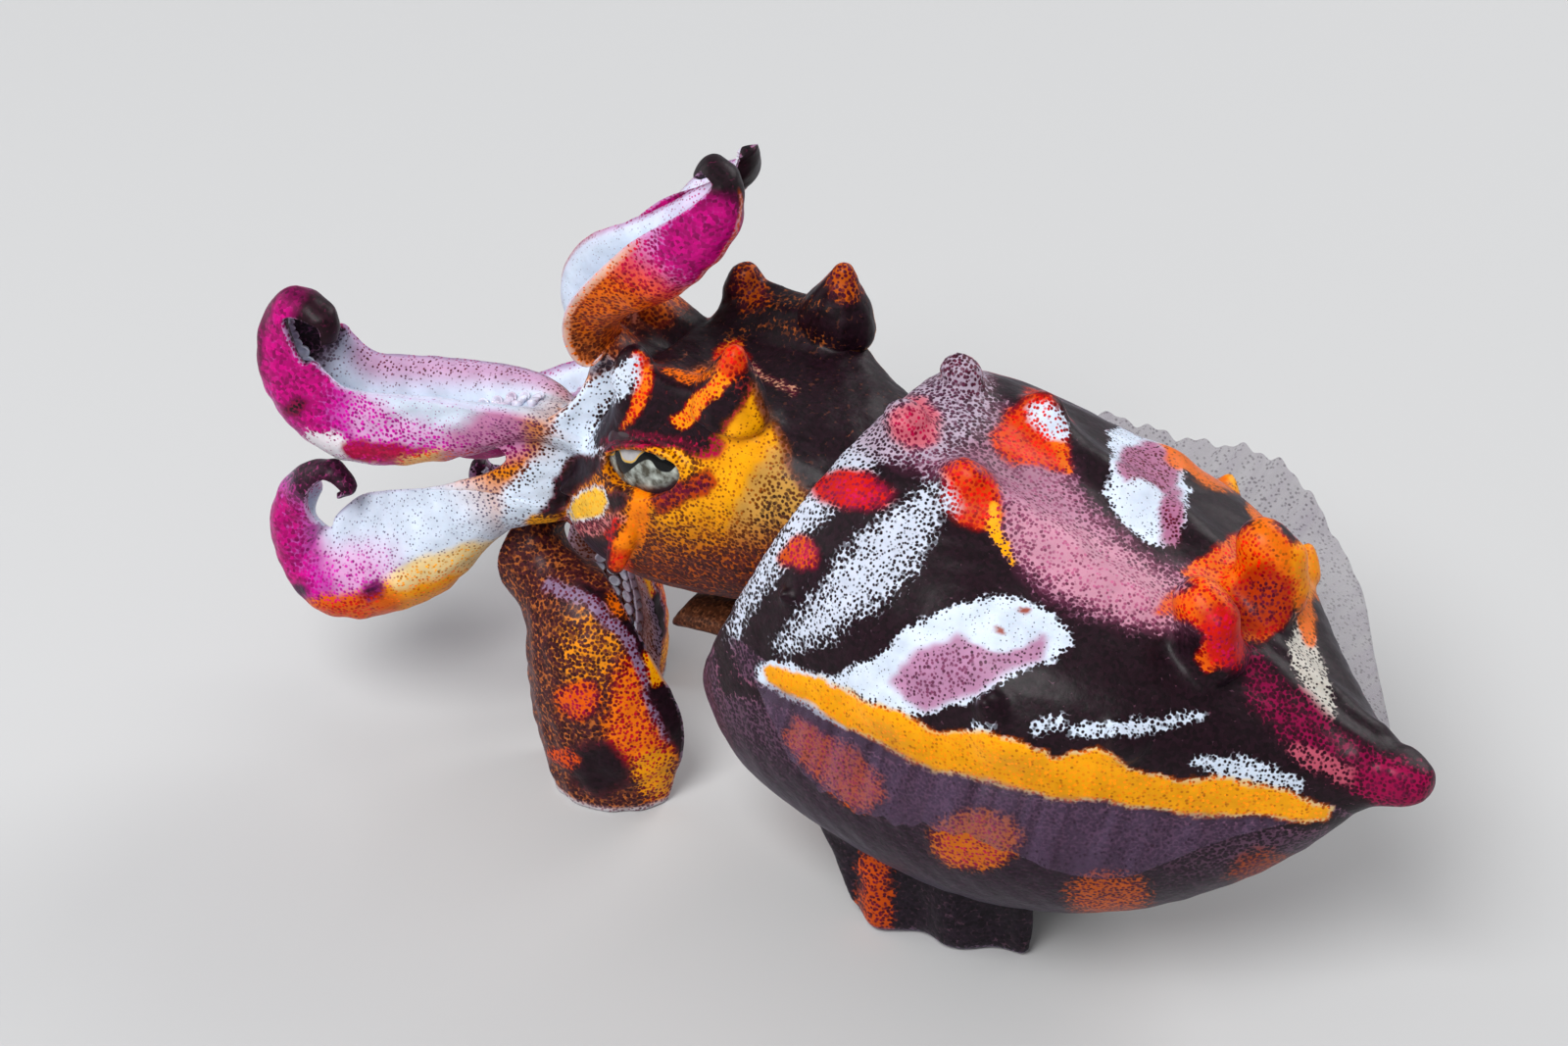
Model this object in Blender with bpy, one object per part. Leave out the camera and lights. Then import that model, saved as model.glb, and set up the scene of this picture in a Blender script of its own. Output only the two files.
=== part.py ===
"""Flamboyant cuttlefish, life size, standing on two arms and two belly flaps, its other arms raised.

X runs from the head at -X to the tail at +X, the animal's left side is at -Y and the floor is at Z = 0.
All places below are in millimetres, and the meshes are made in metres.
"""

import math

import bmesh
import bpy
import numpy as np
from mathutils import Vector

MM = 0.001
GAP = 0.3
# what moves the middle of the model's footprint box onto the origin
CENTRE = Vector((12.97, -2.1, 0.0))

# sections of head and mantle lean back by this much for each millimetre of height, and less and less
# toward the tail, where they stand upright
LEAN = 0.45
LEAN_HEIGHT = 40.0
LEAN_FULL_X = -6.0
LEAN_NONE_X = 44.0

# x at the lean height, half width, fin line height, back height, belly height
MANTLE_STATIONS = (
    (-16.5, 17.0, 34.5, 55.0, 18.5),
    (-12.0, 19.0, 34.5, 55.4, 14.0),
    (-6.0, 20.8, 35.0, 54.2, 10.0),
    (2.0, 22.0, 35.8, 51.8, 7.4),
    (11.0, 22.4, 36.6, 49.4, 5.8),
    (19.0, 21.0, 36.6, 47.2, 6.6),
    (27.0, 17.0, 35.4, 44.2, 10.2),
    (34.0, 11.0, 34.0, 40.4, 16.4),
    (39.5, 6.6, 33.2, 37.8, 23.5),
    (43.5, 3.4, 33.2, 36.4, 29.8),
    (47.0, 2.7, 33.6, 36.2, 31.2),
    (49.3, 1.4, 33.9, 35.2, 32.6),
)
MANTLE_RINGS = 25
MANTLE_SIDES = 32
# how square the sections are above and below their widest line
SQUARE_ABOVE = 2.45
SQUARE_BELOW = 2.55
# the wall at the lip of the mantle's opening, how far its thin part goes in, and the opening's depth
RIM_WALL = 1.8
RIM_DEPTH = 3.0
OPENING_DEPTH = 8.0

# x at the lean height, half width, height of the widest line, top, bottom
HEAD_STATIONS = (
    (-11.0, 10.5, 40.0, 48.5, 29.5),
    (-15.5, 11.2, 40.5, 50.0, 28.5),
    (-21.0, 12.2, 41.0, 51.5, 27.0),
    (-27.0, 13.4, 42.0, 52.0, 26.0),
    (-33.0, 13.6, 42.5, 52.0, 26.0),
    (-38.0, 12.6, 42.0, 52.0, 27.5),
    (-41.5, 10.6, 41.5, 51.5, 30.0),
)
HEAD_RINGS = 18
HEAD_SIDES = 28
# a ridge over each eye, as places to lift: x, y, z, reach, push in x, y, z
HEAD_LIFTS = (
    (-31.0, 12.5, 44.5, 7.5, 0.0, 1.4, 0.0),
    (-35.0, 9.0, 50.5, 3.6, -0.6, 0.6, 3.6),
    (-31.5, 9.0, 51.0, 3.6, 0.0, 0.6, 2.6),
    (-28.0, 9.0, 51.5, 3.6, 0.0, 0.6, 2.6),
    (-24.5, 9.0, 51.5, 4.0, 0.0, 0.6, 3.4),
    (-29.0, 0.0, 52.0, 6.0, 0.0, 0.0, -1.5),
)

EYE_CENTRE = (-31.0, 7.6, 45.3)
EYE_RADIUS = 5.6
# half length and half height of the opening between the lids, and its rise toward the rear
EYE_OPENING = (4.6, 2.7)
EYE_TILT = 0.25
# the lids' rim: half its width, how far out it stands from the eye's middle, and how much less at the corners
LID_WIDTH = 0.55
LID_OUT = 6.3
LID_FALL = 0.8
LID_STEPS = 16
LID_SIDES = 5

# foot (x, y, z), tip (x, y, z) and foot radius of the skin's cones, on the left side at -Y and mirrored
HEAD_PAPILLAE = (
    (-35.0, -9.2, 52.0, -34.6, -9.3, 56.0, 2.2),
    (-23.6, -9.0, 52.5, -22.7, -9.2, 60.6, 3.4),
    (-32.2, -12.2, 41.6, -33.2, -15.6, 33.4, 1.9),
    (-40.6, -9.8, 38.0, -42.6, -12.0, 37.6, 1.6),
)
MANTLE_PAPILLAE = (
    (-5.4, -4.4, 53.0, -6.6, -4.8, 56.8, 2.1),
    (2.8, -6.4, 48.4, 1.0, -6.6, 53.2, 3.2),
    (28.4, -5.2, 42.0, 27.0, -5.6, 50.4, 4.0),
    (10.2, -13.4, 42.4, 10.0, -14.6, 45.6, 2.3),
    (14.6, -19.6, 39.6, 14.2, -22.6, 42.8, 2.5),
    (26.0, -15.8, 38.6, 25.6, -18.4, 41.6, 2.4),
    (-9.6, -17.0, 41.0, -10.2, -19.8, 43.0, 1.8),
)

# widths, and how far the sheet spreads out and rises for each millimetre of width, front, middle and rear
FIN_WIDTH = 9.5
FIN_THICK = 0.7
FIN_FROM = -11.0
FIN_TO = 41.0
FIN_SPREADS = {
    "fin_left": ((0.55, -0.75), (0.5, -0.8), (0.55, -0.75)),
    "fin_right": ((0.9, 0.3), (0.95, 0.25), (0.85, -0.45)),
}
FIN_WAVES = 2.5
FIN_WAVE_RISE = 0.9
FIN_COLUMNS = 22
FIN_ROWS = 5

# front and rear of each belly flap where it leaves the belly and on the floor, and its outer side there
FLAP_X = (-11.0, 12.5)
FLAP_Y = (-15.0, -9.6)
FLAP_FOOT_X = (-5.5, 11.5)
FLAP_FOOT_Y = (-13.9, -8.8)
FLAP_THICK = 3.4
FLAP_COLUMNS = 9
FLAP_ROWS = 4

# middle (x, y, z), half width and half height of the funnel, its bore's share of that and how far it goes in
FUNNEL_STATIONS = (
    (-16.3, 0.0, 24.4, 7.2, 1.8),
    (-22.0, -0.8, 24.1, 6.4, 2.0),
    (-28.5, -2.0, 23.0, 4.6, 2.0),
    (-33.5, -3.0, 21.8, 3.2, 1.9),
)
FUNNEL_BORE = 0.62
FUNNEL_DEPTH = (5.0, 1.2, 1.4)

MOUTH_HEIGHT = 40.0
MOUTH_RADIUS = 3.6
# radius and reach of the lip and of the beak, in shares of the mouth's radius
LIP_PROFILE = ((1.0, 0.0), (1.0, 0.44), (0.86, 0.75), (0.55, 0.92), (0.42, 0.72), (0.4, 0.56))
BEAK_PROFILE = ((0.3, 0.64), (0.3, 0.83), (0.22, 1.03), (0.06, 1.22))
BEAK_FLATNESS = 0.75

ARM_GAP = 0.5
ARM_ROWS = 6
ARM_STEP = 2.4
ARM_EDGE = 0.7
# share of each side of a raised arm that bends, from its middle outward, and past which it stays flat, and
# least radius of that bend, in thicknesses
ARM_FOLD = 0.6
FOLD_ROOM = 1.3
# share of an arm's way, before and after a place, over which its direction there is taken
ARM_LOOK = 0.05
# suckers: radius for each millimetre of the arm's half width, least and most, step along the arm for each
# millimetre of radius with the least step, and the two rows' places across
SUCKER_SIZE = 0.13
SUCKER_RADII = (0.45, 1.05)
SUCKER_STEP = 3.6
SUCKER_LEAST_STEP = 2.1
SUCKER_ROWS = (-0.34, 0.34)
SUCKER_SIDES = 6
# share of the radius and reach from the skin of its root and its rim, and where its hollow's floor is
SUCKER_PROFILE = ((0.75, -0.5), (1.0, 0.55))
SUCKER_HOLLOW = 0.1
# shares of an arm's way where suckers start and end, and kept bare beside the end of each of its lengths
SUCKERS_FROM = 0.12
SUCKERS_TO = 0.95
SUCKER_MARGIN = 0.02


def smooth(stations, places):
    """A smooth curve through hand-set stations, read at places from 0 to 1."""
    pts = np.array(stations, float)
    n = len(pts) - 1
    out = []
    for place in places:
        t = min(max(place, 0.0), 1.0) * n
        i = min(int(t), n - 1)
        f = t - i
        p0 = pts[max(i - 1, 0)]
        p1 = pts[i]
        p2 = pts[i + 1]
        p3 = pts[min(i + 2, n)]
        out.append(
            0.5 * (2 * p1 + (p2 - p0) * f + (2 * p0 - 5 * p1 + 4 * p2 - p3) * f**2
                   + (3 * p1 - p0 - 3 * p2 + p3) * f**3)
        )
    return np.array(out)


def material(name, colour, roughness=0.4):
    mat = bpy.data.materials.new(name)
    mat.use_nodes = True
    shader = mat.node_tree.nodes["Principled BSDF"]
    shader.inputs["Base Color"].default_value = (*colour, 1.0)
    shader.inputs["Roughness"].default_value = roughness
    mat.diffuse_color = (*colour, 1.0)
    return mat


def make_object(name, points, faces, colour, roughness=0.4):
    """One closed body from points in millimetres, with its faces turned outward."""
    mesh = bpy.data.meshes.new(name)
    places = [(Vector(p) + CENTRE) * MM for p in points]
    mesh.from_pydata(places, [], faces)
    shape = bmesh.new()
    shape.from_mesh(mesh)
    bmesh.ops.remove_doubles(shape, verts=shape.verts, dist=0.00001)
    bmesh.ops.triangulate(shape, faces=shape.faces)
    bmesh.ops.recalc_face_normals(shape, faces=shape.faces)
    if shape.calc_volume(signed=True) < 0:
        bmesh.ops.reverse_faces(shape, faces=shape.faces)
    shape.to_mesh(mesh)
    shape.free()
    mesh.shade_smooth()
    mesh.set_sharp_from_angle(angle=math.radians(50))
    mesh.materials.append(material(name, colour, roughness))
    obj = bpy.data.objects.new(name, mesh)
    bpy.context.scene.collection.objects.link(obj)
    return obj


def join_rings(rings, first_cap=True, last_cap=True):
    """Faces between rings of equal length, with a fan over each open end."""
    count = len(rings[0])
    points = [tuple(p) for ring in rings for p in ring]
    faces = []
    for i in range(len(rings) - 1):
        for k in range(count):
            a = i * count + k
            b = i * count + (k + 1) % count
            faces.append((a, b, b + count, a + count))
    for wanted, start in ((first_cap, 0), (last_cap, (len(rings) - 1) * count)):
        if wanted:
            middle = len(points)
            points.append(tuple(np.mean(points[start:start + count], axis=0)))
            faces += [(start + k, start + (k + 1) % count, middle) for k in range(count)]
    return points, faces


def leaning_ring(station, sides, shrink=0.0):
    """One section of head or mantle: rounder above than below, leaning back."""
    x, half_width, middle, top, bottom = station
    ring = []
    for k in range(sides):
        angle = 2 * math.pi * k / sides
        c = math.cos(angle)
        s = math.sin(angle)
        squareness = SQUARE_ABOVE if s > 0 else SQUARE_BELOW
        y = -(half_width - shrink) * math.copysign(abs(c) ** (2 / squareness), c)
        rise = (top - shrink - middle) if s > 0 else (middle - bottom - shrink)
        z = middle + rise * math.copysign(abs(s) ** (2 / squareness), s)
        ring.append((x + LEAN * (z - LEAN_HEIGHT) * lean_share(x), y, z))
    return ring


def lean_share(x):
    """How much of the lean a section at x has."""
    return min(max((LEAN_NONE_X - x) / (LEAN_NONE_X - LEAN_FULL_X), 0.0), 1.0)


def cut_from(target, cutter):
    """Cuts one object from another and removes the cutter."""
    boolean = target.modifiers.new("cut", "BOOLEAN")
    boolean.operation = "DIFFERENCE"
    boolean.object = cutter
    apply_and_remove(target, [cutter])


def apply_and_remove(target, helpers):
    """Applies the modifiers of an object and removes the objects they used."""
    depsgraph = bpy.context.evaluated_depsgraph_get()
    made = bpy.data.meshes.new_from_object(target.evaluated_get(depsgraph))
    target.modifiers.clear()
    target.data = made
    for helper in helpers:
        bpy.data.objects.remove(helper)


def join_to(target, helpers):
    """Joins closed bodies that overlap the target into it and removes them."""
    group = bpy.data.collections.new("joined")
    for helper in helpers:
        group.objects.link(helper)
    boolean = target.modifiers.new("join", "BOOLEAN")
    boolean.operation = "UNION"
    boolean.operand_type = "COLLECTION"
    boolean.collection = group
    apply_and_remove(target, helpers)
    bpy.data.collections.remove(group)


def cone(foot, tip, radius, sides=8):
    """A papilla: a blunt cone of skin from a foot inside the body to its tip."""
    start = Vector(foot)
    way = Vector(tip) - start
    along = way.normalized()
    side = along.cross(Vector((0.3, 0.2, 1.0))).normalized()
    other = along.cross(side)
    rings = []
    for part, share in ((0.0, 1.0), (0.35, 0.86), (0.7, 0.52), (0.94, 0.26)):
        ring = []
        for k in range(sides):
            turn = 2 * math.pi * k / sides
            out = side * math.cos(turn) + other * math.sin(turn)
            ring.append(tuple(start + way * part + out * radius * share))
        rings.append(ring)
    points, faces = join_rings(rings)
    points[-1] = tuple(tip)
    return make_object("papilla", points, faces, (1, 1, 1))


def both_sides(cones):
    """Cones for both sides of the animal from a table for its left side."""
    made = []
    for side in (1, -1):
        for x, y, z, tip_x, tip_y, tip_z, radius in cones:
            made.append(cone((x, side * y, z), (tip_x, side * tip_y, tip_z), radius))
    return made


def build_mantle():
    stations = smooth(MANTLE_STATIONS, np.linspace(0, 1, MANTLE_RINGS))
    outer = [leaning_ring(s, MANTLE_SIDES) for s in stations]
    front = stations[0]
    # the opening behind the head: a lip, a wall going in and the floor where the head is joined
    inner = []
    for depth, shrink in ((0.0, RIM_WALL), (RIM_DEPTH, 1.2 * RIM_WALL), (OPENING_DEPTH, 1.5 * RIM_WALL)):
        inside = front.copy()
        inside[0] += depth
        inner.append(leaning_ring(inside, MANTLE_SIDES, shrink=shrink))
    points, faces = join_rings(inner[::-1] + outer)
    mantle = make_object("mantle", points, faces, (0.12, 0.03, 0.05))
    join_to(mantle, both_sides(MANTLE_PAPILLAE))
    return mantle


def lifted(ring, lifts):
    """A ring whose points near each lift's place are pushed with a soft fall off."""
    out = []
    for point in ring:
        place = Vector(point)
        moved = place.copy()
        for x, y, z, reach, *push in lifts:
            for side in ((1, -1) if y else (1,)):
                away = (place - Vector((x, side * y, z))).length / reach
                share = math.exp(-1.5 * away * away)
                moved += Vector((push[0], side * push[1], push[2])) * share
        out.append(tuple(moved))
    return out


def build_head():
    stations = smooth(HEAD_STATIONS, np.linspace(0, 1, HEAD_RINGS))
    stations[0][0] = MANTLE_STATIONS[0][0] + OPENING_DEPTH - GAP
    rings = [leaning_ring(s, HEAD_SIDES) for s in stations]
    rings = [lifted(ring, HEAD_LIFTS) for ring in rings[:-1]] + rings[-1:]
    points, faces = join_rings(rings)
    head = make_object("head", points, faces, (0.2, 0.06, 0.06))
    join_to(head, both_sides(HEAD_PAPILLAE) + [eyelids(side) for side in (-1, 1)])
    for side in (-1, 1):
        head_socket(head, side)
    return head


def ball(name, centre, radius, colour, segments=16, rings=10):
    """A closed ball whose poles lie to the animal's left and right."""
    loops = []
    for i in range(1, rings):
        polar = math.pi * i / rings
        loop = []
        for k in range(segments):
            turn = 2 * math.pi * k / segments
            loop.append((
                centre[0] + radius * math.sin(polar) * math.cos(turn),
                centre[1] + radius * math.cos(polar),
                centre[2] + radius * math.sin(polar) * math.sin(turn),
            ))
        loops.append(loop)
    points, faces = join_rings(loops, False, False)
    for pole, start in ((1, 0), (-1, (rings - 2) * segments)):
        points.append((centre[0], centre[1] + pole * radius, centre[2]))
        faces += [(start + k, start + (k + 1) % segments, len(points) - 1) for k in range(segments)]
    return make_object(name, points, faces, colour, 0.1)


def slit_point(side, turn, grow, out):
    """A place on the lids' tilted oval round the middle of an eye."""
    x, y, z = EYE_CENTRE
    wide = (EYE_OPENING[0] + grow) * math.cos(turn)
    high = (EYE_OPENING[1] + grow) * math.sin(turn)
    return (x + wide, side * (y + out), z + high + EYE_TILT * wide)


def eyelids(side):
    """The raised rim of skin round the eye, sunk in the head where it curves away."""
    rings = []
    for k in range(LID_STEPS):
        turn = 2 * math.pi * k / LID_STEPS
        ring = []
        for m in range(LID_SIDES):
            round_turn = 2 * math.pi * m / LID_SIDES
            grow = LID_WIDTH * (0.6 + math.cos(round_turn))
            out = LID_OUT - LID_FALL * math.cos(turn) ** 2 + LID_WIDTH * 0.9 * math.sin(round_turn)
            ring.append(slit_point(side, turn, grow, out))
        rings.append(ring)
    points, faces = join_rings(rings + rings[:1], False, False)
    return make_object("lids", points, faces, (1, 1, 1))


def head_socket(head, side):
    """The hollow that the eyeball lies in, opened by the lids' slit."""
    x, y, z = EYE_CENTRE
    centre = (x, side * y, z)
    cut_from(head, ball("socket", centre, EYE_RADIUS + GAP, (1, 1, 1)))
    turns = [2 * math.pi * k / LID_STEPS for k in range(LID_STEPS)]
    slit = [[slit_point(side, turn, 0.0, reach) for turn in turns] for reach in (0.0, 2 * EYE_RADIUS)]
    points, faces = join_rings(slit)
    cut_from(head, make_object("slit", points, faces, (1, 1, 1)))


def build_eyes():
    for side, name in ((-1, "eye_left"), (1, "eye_right")):
        x, y, z = EYE_CENTRE
        ball(name, (x, side * y, z), EYE_RADIUS, (0.03, 0.04, 0.03))


def station_at(x):
    """The mantle's station whose place along the lean height is x."""
    table = np.array(MANTLE_STATIONS)
    return [x] + [float(np.interp(x, table[:, 0], table[:, i])) for i in range(1, 5)]


def build_fins(mantle):
    for side, name in ((-1, "fin_left"), (1, "fin_right")):
        build_fin(mantle, name, side)


def flank(mantle, side, x, z):
    """How far out the mantle's side is at a place seen from the side."""
    start = (Vector((x, side * 60.0, z)) + CENTRE) * MM
    hit, place, _, _ = mantle.ray_cast(start, Vector((0.0, -side, 0.0)))
    return abs(place.y / MM - CENTRE.y) if hit else 0.0


def build_fin(mantle, name, side):
    """A thin rippled sheet spreading from the mantle's widest line."""
    upper = []
    for i in range(FIN_COLUMNS):
        part = i / (FIN_COLUMNS - 1)
        x, _, middle, _, _ = station_at(FIN_FROM + (FIN_TO - FIN_FROM) * part)
        x_here = x + LEAN * (middle - LEAN_HEIGHT) * lean_share(x)
        width = FIN_WIDTH * min(1.0, 0.25 + 5.0 * part, 0.3 + 3.0 * (1 - part))
        spread, rise = smooth(FIN_SPREADS[name], [part])[0]
        wave = FIN_WAVE_RISE * math.sin(part * 2 * math.pi * FIN_WAVES)
        root_z = middle + 0.4
        root = max(flank(mantle, side, x_here, root_z - FIN_THICK * f) for f in (0.0, 0.5, 1.0)) + GAP
        row = []
        for k in range(FIN_ROWS):
            s = k / (FIN_ROWS - 1)
            out = root + width * s * spread
            up = width * rise * s * (0.5 + 0.5 * s) + wave * s * s
            row.append((x_here + 0.12 * width * s, side * out, root_z + up))
        upper.append(row)
    lower = [[(x, y, z - FIN_THICK) for x, y, z in row] for row in upper]
    rings = [up + low[::-1] for up, low in zip(upper, lower)]
    points, faces = plate(rings)
    return make_object(name, points, faces, (0.45, 0.4, 0.5), 0.3)


def plate(rings):
    """Joins flat rings, each one row out and one row back, split alike on both sides, with strip ends."""
    count = len(rings[0])
    points = [tuple(p) for ring in rings for p in ring]
    faces = []
    for i in range(len(rings) - 1):
        for k in range(count):
            a = i * count + k
            b = i * count + (k + 1) % count
            c = b + count
            d = a + count
            faces += [(a, b, c), (a, c, d)] if k < count // 2 else [(a, b, d), (b, c, d)]
    for start in (0, (len(rings) - 1) * count):
        for k in range(count // 2 - 1):
            a = start + k
            b = start + count - 1 - k
            faces.append((a, a + 1, b - 1, b))
    return points, faces


def build_funnel():
    """The short tube under the head that the animal blows water through."""
    rings = []
    for x, y, z, wide, high in smooth(FUNNEL_STATIONS, np.linspace(0, 1, 8)):
        ring = []
        for k in range(14):
            turn = 2 * math.pi * k / 14
            up = high * math.sin(turn)
            ring.append((x + LEAN * up, y + wide * math.cos(turn), z + up))
        rings.append(ring)
    mouth = rings[-1]
    middle = Vector(np.mean(mouth, axis=0))
    bore = [tuple(middle + (Vector(p) - middle) * FUNNEL_BORE) for p in mouth]
    deep = [tuple(Vector(p) + Vector(FUNNEL_DEPTH)) for p in bore]
    points, faces = join_rings(rings + [bore, deep])
    return make_object("funnel", points, faces, (0.3, 0.15, 0.1))


def build_flaps(mantle):
    """The two flaps under the belly that the animal stands on, each meeting the belly above it."""
    for side, name in ((1, "belly_flap_left"), (-1, "belly_flap_right")):
        rings = []
        for i in range(FLAP_COLUMNS):
            part = i / (FLAP_COLUMNS - 1)
            top_x = FLAP_X[0] + (FLAP_X[1] - FLAP_X[0]) * part
            foot_x = FLAP_FOOT_X[0] + (FLAP_FOOT_X[1] - FLAP_FOOT_X[0]) * part
            thin = 0.25 + 0.75 * math.sin(math.pi * part) ** 0.5
            faces_at = []
            for edge in (-0.5, 0.5):
                inset = FLAP_THICK * (0.5 + edge * thin)
                top_y = FLAP_Y[0] + (FLAP_Y[1] - FLAP_Y[0]) * part + inset
                foot_y = FLAP_FOOT_Y[0] + (FLAP_FOOT_Y[1] - FLAP_FOOT_Y[0]) * part + inset
                belly = belly_height(mantle, top_x, top_y) - GAP - 0.1
                for row in range(FLAP_ROWS):
                    down = row / (FLAP_ROWS - 1)
                    faces_at.append((
                        top_x + (foot_x - top_x) * down,
                        side * (top_y + (foot_y - top_y) * down),
                        belly * (1 - down),
                    ))
            rings.append(faces_at[:FLAP_ROWS] + faces_at[FLAP_ROWS:][::-1])
        points, faces = plate(rings)
        make_object(name, points, faces, (0.1, 0.04, 0.05))


def belly_height(mantle, x, y):
    """Height of the belly's skin above a place on the floor."""
    start = (Vector((x, y, -50.0)) + CENTRE) * MM
    hit, place, _, _ = mantle.ray_cast(start, Vector((0.0, 0.0, 1.0)))
    return place.z / MM if hit else LEAN_HEIGHT


def build_mouth():
    """The round mouth in the middle of the arms' roots, and the beak's tip in it."""
    ahead = Vector((-1.0, 0.0, LEAN)).normalized()
    up = Vector((LEAN, 0.0, 1.0)).normalized()
    side = Vector((0.0, 1.0, 0.0))
    front_x = HEAD_STATIONS[-1][0] + LEAN * (MOUTH_HEIGHT - LEAN_HEIGHT)
    foot = Vector((front_x, 0.0, MOUTH_HEIGHT)) + ahead * GAP

    def turned(name, profile, colour, flat=1.0):
        rings = []
        for radius, reach in profile:
            ring = []
            for k in range(12):
                turn = 2 * math.pi * k / 12
                out = side * math.cos(turn) * flat + up * math.sin(turn)
                ring.append(tuple(foot + (ahead * reach + out * radius) * MOUTH_RADIUS))
            rings.append(ring)
        points, faces = join_rings(rings)
        make_object(name, points, faces, colour, 0.3)

    turned("mouth", LIP_PROFILE, (0.6, 0.4, 0.4))
    turned("beak", BEAK_PROFILE, (0.05, 0.03, 0.02), BEAK_FLATNESS)


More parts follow.
